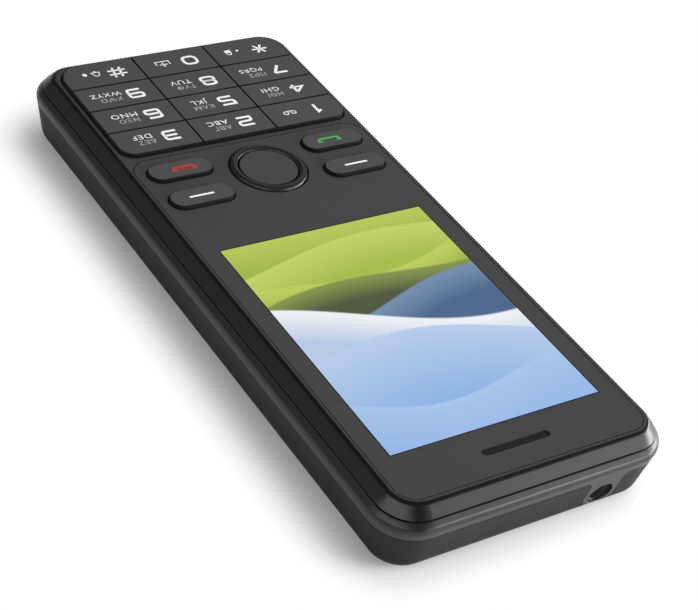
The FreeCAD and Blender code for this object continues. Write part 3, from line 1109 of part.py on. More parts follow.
def make_screws():
    """Four equal screws from the frame, through the board, into the front housing."""
    screws = []
    for place, (x, y) in enumerate(SCREWS):
        head = post("screw_head_%d" % place, "screw_head_radius", SCREW_HEAD_LOW,
                    "(%s + screw_head_height)" % SCREW_HEAD_LOW, x, y)
        shank = post("screw_shank_%d" % place, "screw_shank_radius",
                     "(%s + joint_overlap)" % SCREW_HEAD_LOW,
                     "(%s + screw_engagement)" % BOARD_TOP, x, y)
        screws.append(fuse("screw_%d" % place, [head, shank]))
    node("housing_screws", group("housing_screws", screws))


# ---------------------------------------------------------------- the phone
lower_shape = outer_back()
make_front_housing()
make_front_panel()
make_rear_frame(lower_shape)
make_battery_cover(lower_shape)
make_number_keys()
make_function_keys()
make_navigation()
make_key_mat()
make_domes()
make_display()
make_earpiece()
make_main_board()
make_board_parts()
make_charge_socket()
make_audio_jack()
make_chamber_parts()
make_battery()
make_screws()
doc.recompute()

# ---------------------------------------------------------------- tests and output
for item in doc.Objects:
    failed = [state for state in item.State if state in ("Invalid", "Error")]
    assert not failed, "%s is %s" % (item.Label, failed)
SOLID_COUNTS = {"key_domes": 21, "board_chips": 4, "housing_screws": len(SCREWS)}
for name, item in NODES.items():
    shape = item.Shape
    assert not shape.isNull() and shape.isValid(), name + " has no valid shape"
    count = SOLID_COUNTS.get(name, 1)
    assert len(shape.Solids) == count, "%s holds %d solids, not %d" % (name, len(shape.Solids), count)

os.makedirs("parts", exist_ok=True)
for name, item in NODES.items():
    item.Shape.exportStep("parts/%s.step" % name)
print(len(NODES), "nodes written")
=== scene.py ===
"""Looks, lights and camera for a bar-shaped mobile phone that lies on its back."""

import json
import math

import bmesh
import bpy
from mathutils import Matrix, Vector


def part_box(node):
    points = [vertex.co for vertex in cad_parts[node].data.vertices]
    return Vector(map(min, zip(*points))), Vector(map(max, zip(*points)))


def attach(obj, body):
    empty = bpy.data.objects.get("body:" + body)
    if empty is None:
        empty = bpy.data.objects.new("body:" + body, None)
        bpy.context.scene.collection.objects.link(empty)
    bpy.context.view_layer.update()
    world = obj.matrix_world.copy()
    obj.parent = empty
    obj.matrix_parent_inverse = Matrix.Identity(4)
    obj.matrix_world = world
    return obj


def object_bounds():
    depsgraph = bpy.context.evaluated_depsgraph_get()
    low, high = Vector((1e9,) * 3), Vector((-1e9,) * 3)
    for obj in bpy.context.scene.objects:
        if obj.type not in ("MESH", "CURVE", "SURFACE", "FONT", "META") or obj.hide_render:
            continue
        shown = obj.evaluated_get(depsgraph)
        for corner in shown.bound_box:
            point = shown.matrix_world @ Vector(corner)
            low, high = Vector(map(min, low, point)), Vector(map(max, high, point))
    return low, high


MM = 0.001
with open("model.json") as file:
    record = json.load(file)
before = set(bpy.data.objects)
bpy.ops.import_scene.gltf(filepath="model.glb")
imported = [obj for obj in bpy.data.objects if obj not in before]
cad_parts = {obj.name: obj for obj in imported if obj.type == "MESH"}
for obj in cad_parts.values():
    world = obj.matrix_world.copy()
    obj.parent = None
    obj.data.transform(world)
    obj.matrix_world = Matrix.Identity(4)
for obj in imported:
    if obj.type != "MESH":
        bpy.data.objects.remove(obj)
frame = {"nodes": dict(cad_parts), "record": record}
cad_low, cad_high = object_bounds()
NODES = frame["nodes"]


# ---------------------------------------------------------------- small tools
def linear(code, share=1.0):
    """An sRGB hex colour as linear RGBA; a share below or above 1 makes it darker or lighter."""
    channels = [int(code[place:place + 2], 16) / 255 for place in (1, 3, 5)]
    return (*[(c / 12.92 if c <= 0.04045 else ((c + 0.055) / 1.055) ** 2.4) * share for c in channels], 1)


def add(tree, kind, inputs=None, stops=None, **settings):
    """Adds a node. Inputs are numbers, colours or sockets to link, by name or place; stops are a ramp's."""
    made = tree.nodes.new(kind)
    for name, setting in settings.items():
        setattr(made, name, setting)
    for name, setting in (inputs or {}).items():
        if isinstance(setting, bpy.types.NodeSocket):
            tree.links.new(setting, made.inputs[name])
        else:
            made.inputs[name].default_value = setting
    if stops:
        while len(made.color_ramp.elements) < len(stops):
            made.color_ramp.elements.new(0.5)
        for element, (where, colour) in zip(made.color_ramp.elements, stops):
            element.position = where
            element.color = colour
    return made


def middle_of(node):
    """Where the middle of a node lies across and along the phone, in millimetres."""
    low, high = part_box(node)
    return (low[0] + high[0]) / 2 / MM, (low[1] + high[1]) / 2 / MM


def start_material(name, plain):
    """A Principled material, its tree, shader and coordinates in metres. Plain values are the same all over,
    and go on the shader's own sockets."""
    material = bpy.data.materials.new(name)
    material.use_nodes = True
    tree = material.node_tree
    shader = tree.nodes["Principled BSDF"]
    for socket, value in plain.items():
        shader.inputs[socket].default_value = value
    return material, tree, shader, add(tree, "ShaderNodeTexCoord").outputs["Object"]


# ---------------------------------------------------------------- finishes
NOISE_LOW, NOISE_HIGH = 0.3, 0.7        # a noise texture seldom leaves this band
THUMB_PATCH = 22 * MM                   # width of a patch that thumbs rub smoother
RUBBED = 0.04                           # how much such a patch changes the roughness
TOP_TONE_FULL = 0.995                   # upward part of the normal where the top colour is used in full
WAVE_BAND = 0.314                       # metres from band to band of a wave texture at scale 1


def moulded(name, colour, roughness, ior, grain, relief):
    """Plastic, rubber or paint: a fine grain, grain wide and relief deep in millimetres, that darkens and
    lightens the colour by an eighth, and faint smoother patches where hands go."""
    material, tree, shader, place = start_material(name, {"IOR": ior})
    grains = add(tree, "ShaderNodeTexNoise",
                 {"Vector": place, "Scale": 1 / (grain * MM), "Detail": 3.0, "Roughness": 0.6})
    patches = add(tree, "ShaderNodeTexNoise", {"Vector": place, "Scale": 1 / THUMB_PATCH, "Detail": 4.0,
                                               "Roughness": 0.65, "Distortion": 0.4})
    shade = add(tree, "ShaderNodeValToRGB", {"Fac": grains.outputs["Fac"]},
                ((NOISE_LOW, linear(colour, 0.88)), (NOISE_HIGH, linear(colour, 1.12))))
    gloss = add(tree, "ShaderNodeMapRange",
                {"Value": patches.outputs["Fac"], "From Min": NOISE_LOW, "From Max": NOISE_HIGH,
                 "To Min": roughness - RUBBED, "To Max": roughness + RUBBED})
    dents = add(tree, "ShaderNodeBump",
                {"Height": grains.outputs["Fac"], "Distance": relief * MM, "Strength": 0.6})
    tree.links.new(shade.outputs["Color"], shader.inputs["Base Color"])
    tree.links.new(gloss.outputs["Result"], shader.inputs["Roughness"])
    tree.links.new(dents.outputs["Normal"], shader.inputs["Normal"])
    return material


def worked_metal(name, colour, roughness, grain, drawn_out=(1.0, 1.0, 1.0)):
    """Bare or plated metal with fine marks, grain wide in millimetres and drawn out the way it was rolled."""
    material, tree, shader, place = start_material(name, {"Metallic": 1.0})
    stretched = add(tree, "ShaderNodeMapping", {"Vector": place, "Scale": drawn_out})
    marks = add(tree, "ShaderNodeTexNoise",
                {"Vector": stretched.outputs["Vector"], "Scale": 1 / (grain * MM), "Detail": 4.0})
    shade = add(tree, "ShaderNodeValToRGB", {"Fac": marks.outputs["Fac"]},
                ((NOISE_LOW, linear(colour, 0.85)), (NOISE_HIGH, linear(colour))))
    gloss = add(tree, "ShaderNodeMapRange",
                {"Value": marks.outputs["Fac"], "To Min": roughness * 0.7, "To Max": roughness * 1.3})
    tree.links.new(shade.outputs["Color"], shader.inputs["Base Color"])
    tree.links.new(gloss.outputs["Result"], shader.inputs["Roughness"])
    return material


def painted_light_by_facing(material, side_colour, side_roughness, top_tone_starts=0.93):
    """Upward faces keep the colour; the sides get a darker one and their own gloss: painted sheen and shade.
    """
    tree = material.node_tree
    shader = tree.nodes["Principled BSDF"]
    paint = shader.inputs["Base Color"].links[0].from_socket
    gloss = shader.inputs["Roughness"].links[0].from_socket
    facing = add(tree, "ShaderNodeSeparateXYZ", {"Vector": add(tree, "ShaderNodeTexCoord").outputs["Normal"]})
    cover = add(tree, "ShaderNodeMapRange",
                {"Value": facing.outputs["Z"], "From Min": top_tone_starts, "From Max": TOP_TONE_FULL})
    # Painted light and shade: upward faces take the lighter colour, the sides the darker one.
    colour = add(tree, "ShaderNodeMix", {0: cover.outputs["Result"], 6: linear(side_colour), 7: paint},
                 data_type="RGBA")
    sheen = add(tree, "ShaderNodeMix", {0: cover.outputs["Result"], 2: side_roughness, 3: gloss},
                data_type="FLOAT")
    tree.links.new(colour.outputs[2], shader.inputs["Base Color"])
    tree.links.new(sheen.outputs[0], shader.inputs["Roughness"])
    return material


def wire_cloth(name, colour, pitch):
    """Painted wire cloth: two sets of crossing wires, pitch apart in millimetres, with the holes between them
    painted black as painted shade.
    """
    material, tree, shader, place = start_material(name, {"Metallic": 0.5, "Roughness": 0.5})
    sets = [add(tree, "ShaderNodeTexWave", {"Vector": place, "Scale": WAVE_BAND / (pitch * MM)},
                bands_direction=way, wave_profile="SIN").outputs["Fac"] for way in "XY"]
    wires = add(tree, "ShaderNodeMath", {0: sets[0], 1: sets[1]}, operation="MAXIMUM").outputs[0]
    # The holes between the wires are painted black, as painted shade.
    shade = add(tree, "ShaderNodeValToRGB", {"Fac": wires}, ((0.5, linear("#000000")), (0.9, linear(colour))))
    dents = add(tree, "ShaderNodeBump", {"Height": wires, "Distance": 0.05 * MM, "Strength": 1.0})
    tree.links.new(shade.outputs["Color"], shader.inputs["Base Color"])
    tree.links.new(dents.outputs["Normal"], shader.inputs["Normal"])
    return material


def printed(name, colour, glow):
    """Screen-printed ink: a matt film, thinner in spots 0.12 mm wide, with a faint glow of its own that
    stands for key light behind it.
    """
    material, tree, shader, place = start_material(name, {"Roughness": 0.5, "Emission Strength": glow})
    cover = add(tree, "ShaderNodeTexNoise", {"Vector": place, "Scale": 1 / (0.12 * MM), "Detail": 2.0})
    shade = add(tree, "ShaderNodeValToRGB", {"Fac": cover.outputs["Fac"]},
                ((0.25, linear(colour, 0.82)), (0.6, linear(colour))))
    tree.links.new(shade.outputs["Color"], shader.inputs["Base Color"])
    # The ink's own glow is painted light.
    tree.links.new(shade.outputs["Color"], shader.inputs["Emission Color"])
    return material


# ---------------------------------------------------------------- the lit display and its black edge
WINDOW_LOW, WINDOW_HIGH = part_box("display_window")
BLACK_EDGE = 0.24 * MM
RIBBON_EDGE = 0.006                     # softness of a ribbon's edge, as a share of the picture's height
# Ribbons from the keypad end up: turns, phase, height, start and slope of the lower line, then depth of
# shading and the colours at the edge and inside. Lengths are shares of the picture's width or height.
RIBBONS = (
    (0.00, 0.0, 0.00, 0.00, 0.00, 0.22, "#b4c84a", "#8fa62c"),
    (0.55, 3.4, 0.05, 0.10, 0.03, 0.16, "#c3d45e", "#a3ba38"),
    (0.60, 0.3, 0.06, 0.17, 0.10, 0.16, "#bccf52", "#8aa12c"),
    (0.50, 2.1, 0.07, 0.24, 0.12, 0.10, "#7d8f3a", "#3e4c22"),
    (0.62, 4.4, 0.06, 0.38, 0.04, 0.13, "#6d89ad", "#3c5c86"),
    (0.55, 0.9, 0.07, 0.52, -0.14, 0.16, "#f1f4f9", "#b4c9e8"),
    (0.50, 3.0, 0.09, 0.66, -0.06, 0.34, "#b4cdee", "#86b0e6"),
    (0.65, 5.1, 0.07, 0.86, -0.10, 0.24, "#a6c5ee", "#8fb4ea"),
)


def lit_display():
    """Cast acrylic, clear and nearly polished, over a lit panel: even light with a faint gloss on top. The
    panel shows flowing ribbons: spring green by the keypad, then dark green, slate, white and pale blue."""
    material, tree, shader, place = start_material(
        "acrylic_window_over_display",
        {"Base Color": linear("#101214"), "Roughness": 0.22, "IOR": 1.49, "Emission Strength": 0.95})
    parts = add(tree, "ShaderNodeSeparateXYZ", {"Vector": place})
    across, along = [
        add(tree, "ShaderNodeMapRange", {"Value": parts.outputs[name], "From Min": WINDOW_LOW[axis],
                                         "From Max": WINDOW_HIGH[axis]}, clamp=False).outputs["Result"]
        for axis, name in enumerate("XY")]
    picture = None
    for turns, phase, height, start, slope, depth, edge, heart in RIBBONS:
        angle = add(tree, "ShaderNodeMath", {0: across, 1: turns * 2 * math.pi, 2: phase},
                    operation="MULTIPLY_ADD")
        swing = add(tree, "ShaderNodeMath", {0: angle.outputs[0]}, operation="SINE")
        level = add(tree, "ShaderNodeMath", {0: across, 1: slope, 2: start}, operation="MULTIPLY_ADD")
        line = add(tree, "ShaderNodeMath", {0: swing.outputs[0], 1: height, 2: level.outputs[0]},
                   operation="MULTIPLY_ADD")
        above = add(tree, "ShaderNodeMath", {0: along, 1: line.outputs[0]}, operation="SUBTRACT").outputs[0]
        inside = add(tree, "ShaderNodeMapRange", {"Value": above, "From Min": 0.0, "From Max": depth})
        colour = add(tree, "ShaderNodeValToRGB", {"Fac": inside.outputs["Result"]},
                     ((0.0, linear(edge)), (0.18, linear(edge, 0.94)), (1.0, linear(heart)))).outputs["Color"]
        if picture:
            cover = add(tree, "ShaderNodeMapRange",
                        {"Value": above, "From Min": -RIBBON_EDGE, "From Max": RIBBON_EDGE},
                        interpolation_type="SMOOTHSTEP")
            colour = add(tree, "ShaderNodeMix", {0: cover.outputs["Result"], 6: picture, 7: colour},
                         data_type="RGBA").outputs[2]
        picture = colour
    tree.links.new(picture, shader.inputs["Emission Color"])
    return material


def edged_round_window(material):
    """Prints a black line on the panel round the window, over the metal edge of the display."""
    tree = material.node_tree
    shader = tree.nodes["Principled BSDF"]
    parts = add(tree, "ShaderNodeSeparateXYZ", {"Vector": add(tree, "ShaderNodeTexCoord").outputs["Object"]})
    beyond = []
    for axis, name in enumerate("XY"):
        middle = (WINDOW_LOW[axis] + WINDOW_HIGH[axis]) / 2
        reach = (WINDOW_HIGH[axis] - WINDOW_LOW[axis]) / 2
        off = add(tree, "ShaderNodeMath", {0: parts.outputs[name], 1: middle}, operation="SUBTRACT")
        near = add(tree, "ShaderNodeMath", {0: off.outputs[0]}, operation="ABSOLUTE")
        beyond.append(add(tree, "ShaderNodeMath", {0: near.outputs[0], 1: reach}, operation="SUBTRACT"))
    farthest = add(tree, "ShaderNodeMath", {0: beyond[0].outputs[0], 1: beyond[1].outputs[0]},
                   operation="MAXIMUM")
    line = add(tree, "ShaderNodeMath", {0: farthest.outputs[0], 1: BLACK_EDGE}, operation="LESS_THAN")
    paint = shader.inputs["Base Color"].links[0].from_socket
    colour = add(tree, "ShaderNodeMix", {0: line.outputs[0], 6: paint, 7: linear("#050505")},
                 data_type="RGBA")
    tree.links.new(colour.outputs[2], shader.inputs["Base Color"])
    return material


def round_optic(name, node, rings, roughness, ior):
    """A round clear cap over what lies under it, drawn as rings about its middle; a ring is (radius in
    millimetres, colour). Dust 0.3 mm wide dulls it in spots."""
    material, tree, shader, place = start_material(name, {"IOR": ior})
    x, y = middle_of(node)
    low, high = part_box(node)
    widest = (high[0] - low[0]) / 2
    flat = add(tree, "ShaderNodeVectorMath", {0: place, 1: (1.0, 1.0, 0.0)}, operation="MULTIPLY")
    reach = add(tree, "ShaderNodeVectorMath", {0: flat.outputs[0], 1: (x * MM, y * MM, 0.0)},
                operation="DISTANCE")
    share = add(tree, "ShaderNodeMath", {0: reach.outputs["Value"], 1: widest}, operation="DIVIDE")
    shade = add(tree, "ShaderNodeValToRGB", {"Fac": share.outputs[0]},
                [(radius * MM / widest, linear(code)) for radius, code in rings])
    dust = add(tree, "ShaderNodeTexNoise", {"Vector": place, "Scale": 1 / (0.3 * MM), "Detail": 3.0})
    gloss = add(tree, "ShaderNodeMapRange",
                {"Value": dust.outputs["Fac"], "To Min": roughness * 0.6, "To Max": roughness * 1.4})
    tree.links.new(shade.outputs["Color"], shader.inputs["Base Color"])
    tree.links.new(gloss.outputs["Result"], shader.inputs["Roughness"])
    return material


def painted_glow_from_behind(material, name, colour, middle, half_size):
    """A copy of a key's paint with a painted glow: tinted as if a coloured lamp shone behind its legend,
    strongest in the middle.
    """
    glowing = material.copy()
    glowing.name = name
    tree = glowing.node_tree
    shader = tree.nodes["Principled BSDF"]
    centred = add(tree, "ShaderNodeMapping", {"Vector": add(tree, "ShaderNodeTexCoord").outputs["Object"],
                                              "Location": (-middle[0] * MM, -middle[1] * MM, 0.0)})
    squeezed = add(tree, "ShaderNodeVectorMath",
                   {0: centred.outputs["Vector"],
                    1: (1 / (half_size[0] * MM), 1 / (half_size[1] * MM), 0.0)},
                   operation="MULTIPLY")
    reach = add(tree, "ShaderNodeVectorMath", {0: squeezed.outputs[0]}, operation="LENGTH")
    light = add(tree, "ShaderNodeMapRange",
                {"Value": reach.outputs["Value"], "From Min": 0.1, "From Max": 1.0, "To Min": 0.75,
                 "To Max": 0.0},
                interpolation_type="SMOOTHSTEP")
    paint = shader.inputs["Base Color"].links[0].from_socket
    tinted = add(tree, "ShaderNodeMix", {0: light.outputs["Result"], 6: paint, 7: linear(colour)},
                 data_type="RGBA")
    tree.links.new(tinted.outputs[2], shader.inputs["Base Color"])
    return glowing


# ---------------------------------------------------------------- materials of the shell and the front
# Polycarbonate, moulded, with soft black paint: a dull charcoal with the peel of spray, a quarter of a
# millimetre across. Its upward faces are drawn lighter, as painted sheen; its sides blacker and shinier.
HOUSING = painted_light_by_facing(moulded("painted_polycarbonate", "#383839", 0.50, 1.50, 0.25, 0.004),
                             "#101011", 0.30, 0.97)
# ABS from a satin mould: black, with broad soft highlights. The mould's grain is about 0.05 mm; it is drawn
# 0.3 mm wide so that it shows.
FRAME = moulded("moulded_abs_satin", "#141415", 0.33, 1.54, 0.30, 0.004)
# ABS from a spark-eroded mould: flat black with no clear highlight, as its pits, 0.015 mm deep, scatter the
# light. They are about 0.05 mm wide, and drawn 0.22 mm wide so that they show.
COVER = moulded("spark_eroded_abs", "#0e0e0e", 0.50, 1.54, 0.22, 0.015)
COVER.node_tree.nodes["Principled BSDF"].inputs["Specular IOR Level"].default_value = 0.24
# Acrylic plate, painted: the same charcoal as the shell's top, flatter and smoother, black round the window.
PANEL = edged_round_window(moulded("painted_acrylic_plate", "#3b3b3b", 0.50, 1.50, 0.25, 0.002))
# Polycarbonate key caps, painted: charcoal tops with a fine peel, and sides painted nearly black as painted
# shade, so that each key stands out by a dark line.
KEYS = painted_light_by_facing(moulded("painted_key_caps", "#474748", 0.55, 1.50, 0.25, 0.003), "#040404", 0.85)
# The centre button's paint is worn a little smoother than that of the keys.
BUTTON = moulded("painted_centre_button", "#3a3a3b", 0.38, 1.50, 0.30, 0.002)
# Acrylic (PMMA), polished: the ring's black is deep, and its rounded edge carries a thin bright line.
RING = moulded("polished_pmma_ring", "#1f1f20", 0.31, 1.49, 0.40, 0.001)
# Steel wire cloth, painted black: a dark grid over the earpiece and the loudspeaker, its holes painted black
# as painted shade. Its real pitch is about 0.2 mm; it is drawn at 0.55 mm so that it shows.
MESH = wire_cloth("woven_steel_mesh", "#38383a", 0.55)

# ---------------------------------------------------------------- materials inside and in the sockets
# Silicone rubber, pressed: dull, dark and slightly soft to the eye. Grain of 0.05 mm, drawn 0.2 mm wide.
SILICONE = moulded("silicone_rubber", "#18181a", 0.70, 1.41, 0.20, 0.010)
# Nylon with glass fibres, moulded: dull black, with fibres 0.2 mm long that show as a fine fleck.
NYLON = moulded("glass_filled_nylon", "#101011", 0.40, 1.53, 0.20, 0.006)
# Epoxy laminate under green solder mask: a glossy green with the glass cloth's weave, 0.3 mm, just felt.
BOARD = moulded("solder_mask_laminate", "#0f4a30", 0.35, 1.50, 0.30, 0.003)
# Epoxy moulding compound: matt near-black chips. Its grit is 0.05 mm, drawn 0.15 mm wide.
EPOXY = moulded("moulding_epoxy", "#1b1b1c", 0.60, 1.55, 0.15, 0.005)
# Polyester wrap, shrunk on the cell: mid-grey with a slack sheen, rippled every 0.4 mm.
WRAP = moulded("polyester_battery_wrap", "#5d6064", 0.35, 1.57, 0.40, 0.002)
# Polyester film with its adhesive: straw-coloured and glossy, rippled every 0.4 mm.
FILM = moulded("polyester_film", "#cfc8a8", 0.25, 1.57, 0.40, 0.001)
# Phosphor in silicone, dispensed: matt yellow. Its grains are 0.015 mm, drawn 0.15 mm wide.
PHOSPHOR = moulded("led_phosphor", "#e8d680", 0.50, 1.41, 0.15, 0.004)
# Glass with a laminated polariser: blue-black and glossy, with ripples of 0.4 mm.
STACK = moulded("polarised_display_stack", "#23262a", 0.20, 1.52, 0.40, 0.001)
# Steel sheet, rolled and bright: pale grey, with rolling lines 0.3 mm apart that run along the phone.
STEEL = worked_metal("rolled_steel_sheet", "#c4c6c8", 0.30, 0.30, (1.0, 0.12, 1.0))
# Steel with black oxide, as on screws: dark grey and oily, mottled every 0.3 mm.
OXIDE = worked_metal("black_oxide_screw_steel", "#4a4a4c", 0.40, 0.30)
# Brass, gold plated: warm yellow and bright, with plating grain of 0.3 mm.
GOLD = worked_metal("gold_plated_brass", "#d8b365", 0.25, 0.30)
# Nickel plate on a turned sleeve: a warm grey gleam in the socket's mouth, with grain of 0.3 mm.
NICKEL = worked_metal("nickel_plate", "#c4c4c2", 0.34, 0.30)
# Glass cap over the camera: polished black, with the lens as a deep blue eye in a grey rim.
CAMERA_GLASS = round_optic(
    "camera_glass", "camera_window",
    ((0.0, "#1c2a52"), (0.7, "#22335e"), (0.85, "#040405"), (1.6, "#060608"), (1.7, "#4a4c50"),
     (2.0, "#3a3c40"), (2.1, "#070708")), 0.08, 1.52)
# Acrylic torch lens, moulded clear with ring steps: pale grey, with the yellow lamp seen through its middle.
TORCH_LENS = round_optic(
    "clear_torch_lens", "torch_guide",
    ((0.0, "#e4cf72"), (0.75, "#d8c36a"), (0.85, "#b9bbb4"), (1.1, "#8f918c"), (1.2, "#b4b6b0"),
     (1.45, "#8a8c88"), (1.55, "#a9aba6"), (1.85, "#5c5e5c")), 0.16, 1.49)

# ---------------------------------------------------------------- inks of the legends
# Screen inks for plastic, cured: flat, slightly uneven films. Each glows a little, painted light that stands
# for the key light behind it.
WHITE_INK = printed("white_screen_ink", "#f4f4f4", 0.12)
GREY_INK = printed("light_grey_screen_ink", "#bdbdbd", 0.05)
GREEN_INK = printed("green_screen_ink", "#4fae5a", 0.10)
RED_INK = printed("red_screen_ink", "#b03a36", 0.10)

HANDSET_INWARD = 0.775                  # mm inward from the key's middle, on the call and end keys
END_KEY_X, END_KEY_Y = middle_of("end_key")
END_KEY_GLOW = (3.2, 1.8)               # half width and half height of the painted red glow round its handset, mm
# The end key's red glow is painted into its colour.
END_KEY_PAINTED_GLOW = painted_glow_from_behind(KEYS, "key_cap_with_painted_red_glow", "#8c2a28",
                              (END_KEY_X - HANDSET_INWARD, END_KEY_Y), END_KEY_GLOW)

BY_SLOT = {"shell_paint": HOUSING, "frame_plastic": FRAME, "cover_plastic": COVER, "panel_paint": PANEL,
           "key_plastic": KEYS, "ring_gloss": RING, "silicone": SILICONE, "sheet_steel": STEEL,
           "screw_steel": OXIDE, "contact_brass": GOLD, "socket_plastic": NYLON, "board_laminate": BOARD,
           "chip_epoxy": EPOXY, "film_polyester": FILM, "mesh_steel": MESH, "battery_wrap": WRAP,
           "led_package": PHOSPHOR, "display_stack": STACK}
BY_NODE = {"display_window": lit_display(), "nav_button": BUTTON, "jack_sleeve": NICKEL,
           "end_key": END_KEY_PAINTED_GLOW, "camera_window": CAMERA_GLASS, "torch_guide": TORCH_LENS}
for entry in frame["record"]["subparts"]:
    coats = NODES[entry["node"]].data.materials
    coats.clear()
    coats.append(BY_NODE.get(entry["node"]) or BY_SLOT[entry["material_slot"]])

# ---------------------------------------------------------------- rounded edges of the two shells
ON_EDGE_Z = 0.005                       # mm; a vertex this near the edge's height belongs to it
ON_EDGE_OUT = 0.04                      # mm; and this near the rounded outline


def round_shell_edge(node, height, corner, width, steps):
    """Rounds the edge that runs round a shell at one height, as the mould leaves it; sizes in millimetres."""
    shell = NODES[node]
    ends = [v for v in shell.data.vertices if abs(v.co.z - height * MM) < ON_EDGE_Z * MM]
    flat_x = max(v.co.x for v in ends) - corner * MM
    flat_y = max(v.co.y for v in ends) - corner * MM
    outline = []
    for v in ends:
        out_x = abs(v.co.x) - flat_x
        out_y = abs(v.co.y) - flat_y
        outside = math.hypot(max(out_x, 0.0), max(out_y, 0.0)) + min(max(out_x, out_y), 0.0) - corner * MM
        if abs(outside) < ON_EDGE_OUT * MM:
            outline.append(v.index)
    name = "edge_at_%g" % height
    shell.vertex_groups.new(name=name).add(outline, 1.0, "REPLACE")
    if "weld" not in shell.modifiers:
        shell.modifiers.new("weld", "WELD").merge_threshold = 0.0005 * MM
    bevel = shell.modifiers.new(name, "BEVEL")
    bevel.width = width * MM
    bevel.segments = steps
    bevel.limit_method = "VGROUP"
    bevel.vertex_group = name
    bevel.use_clamp_overlap = False


# The frame's ridge is soft; the two lips at the seam are only broken.
round_shell_edge("rear_frame", height=10.7, corner=7.8, width=0.7, steps=4)
round_shell_edge("rear_frame", height=11.95, corner=6.65, width=0.12, steps=2)
round_shell_edge("front_housing", height=12.2, corner=6.65, width=0.12, steps=2)
for node in ("rear_frame", "front_housing"):
    shading = NODES[node].modifiers.new("flat_faces_stay_flat", "WEIGHTED_NORMAL")
    shading.keep_sharp = True
    shading.weight = 100

# ---------------------------------------------------------------- printed legends, in millimetres
KEY_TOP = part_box("key_5")[1][2]
PRINT_RISE = 0.012 * MM
# The prints of a number key are set out about a spot near its middle: each column's spots lie this far to the
# right of the keys' middles, and each row's this far above them.
COLUMN_SHIFTS = ((0.265, "1 4 7 star"), (0.0, "2 5 8 0"), (-0.265, "3 6 9 hash"))
ROW_RISES = ((-0.145, "1 2 3"), (0.08, "4 5 6"), (0.24, "7 8 9"), (0.335, "star 0 hash"))
SPOT_SHIFT = {name: shift for shift, names in COLUMN_SHIFTS for name in names.split()}
SPOT_RISE = {name: rise for rise, names in ROW_RISES for name in names.split()}
DIGIT_SHIFT = -3.15                     # from the spot to the numeral
LETTER_SHIFT = 2.65                     # and to the letters
LETTER_DROP = -1.05
LETTER_SIZE = 2.0
FOUR_LETTER_SHIFT = 2.9                 # four letters are set smaller and a little further out
FOUR_LETTER_SIZE = 1.8
SECOND_SHIFT = 2.35                     # the second letters stand above the first, smaller
SECOND_RISE = 0.75
SECOND_SIZE = 1.7
DIGIT_STROKE = 0.62
SIGN_STROKE = 0.48
ICON_STROKE = 0.24
FUNCTION_STROKE = 0.5
WIDE, TALL, BEND = 1.45, 1.3, 0.55      # half width, half height and corner radius of a numeral
SAME_SPOT = 1e-6                        # two points this near are one
NO_LENGTH = 1e-9                        # a step shorter than this has no direction
SHARPEST_MITRE = 0.5                    # keeps the corner of a sharp turn from running out


def spot_on(name):
    """Where the prints of a number key are set out from."""
    x, y = middle_of("key_" + name)
    return x + SPOT_SHIFT[name], y + SPOT_RISE[name]


def bar(*points):
    """A straight or angular path."""
    return [Vector(point) for point in points]


def bent(points, radius, steps=5):
    """A path whose corners are arcs; a corner given as (x, y, 0) stays sharp."""
    path = [Vector(points[0][:2])]
    for before, corner, after in zip(points, points[1:], points[2:]):
        here = Vector(corner[:2])
        if len(corner) > 2:
            path.append(here)
            continue
        back = Vector(before[:2]) - here
        front = Vector(after[:2]) - here
        reach = min(radius, back.length * 0.5, front.length * 0.5)
        start = here + back.normalized() * reach
        end = here + front.normalized() * reach
        for step in range(steps + 1):
            share = step / steps
            path.append(start * (1 - share) ** 2 + here * 2 * share * (1 - share) + end * share ** 2)
    path.append(Vector(points[-1][:2]))
    return path


def loop(x, y, half_width, half_height, squareness=2.0, steps=20):
    """A closed oval, or a squarish one."""
    path = []
    for step in range(steps + 1):
        angle = 2 * math.pi * step / steps
        c, s = math.cos(angle), math.sin(angle)
        path.append(Vector((x + half_width * math.copysign(abs(c) ** (2 / squareness), c),
                            y + half_height * math.copysign(abs(s) ** (2 / squareness), s))))
    return path


def lay_line(mesh, path, width, place, height):
    """Adds a flat ribbon along a path to a bmesh, with mitred turns."""
    closed = (path[0] - path[-1]).length < SAME_SPOT
    points = path[:-1] if closed else path
    count = len(points)
    pairs = []
    for k, point in enumerate(points):
        before = points[k - 1] if closed or k > 0 else point
        after = points[(k + 1) % count] if closed or k < count - 1 else point
        first = (point - before if (point - before).length > NO_LENGTH else after - point).normalized()
        second = (after - point).normalized() if (after - point).length > NO_LENGTH else first
        side = Vector((-first.y - second.y, first.x + second.x))
        side = side.normalized() if side.length > SAME_SPOT else Vector((-first.y, first.x))
        mitre = max(SHARPEST_MITRE, side.dot(Vector((-first.y, first.x))))
        offset = side * (width / 2 / mitre)
        pairs.append([mesh.verts.new(((place[0] + p.x) * MM, (place[1] + p.y) * MM, height))
                      for p in (point + offset, point - offset)])
    for k in range(count if closed else count - 1):
        left, right = pairs[k], pairs[(k + 1) % count]
        mesh.faces.new((left[0], left[1], right[1], right[0]))


def lay_dot(mesh, radius, place, height, steps=20):
    """Adds a flat round dot to a bmesh."""
    turns = [2 * math.pi * k / steps for k in range(steps)]
    mesh.faces.new([mesh.verts.new(((place[0] + radius * math.cos(turn)) * MM,
                                    (place[1] + radius * math.sin(turn)) * MM, height)) for turn in turns])


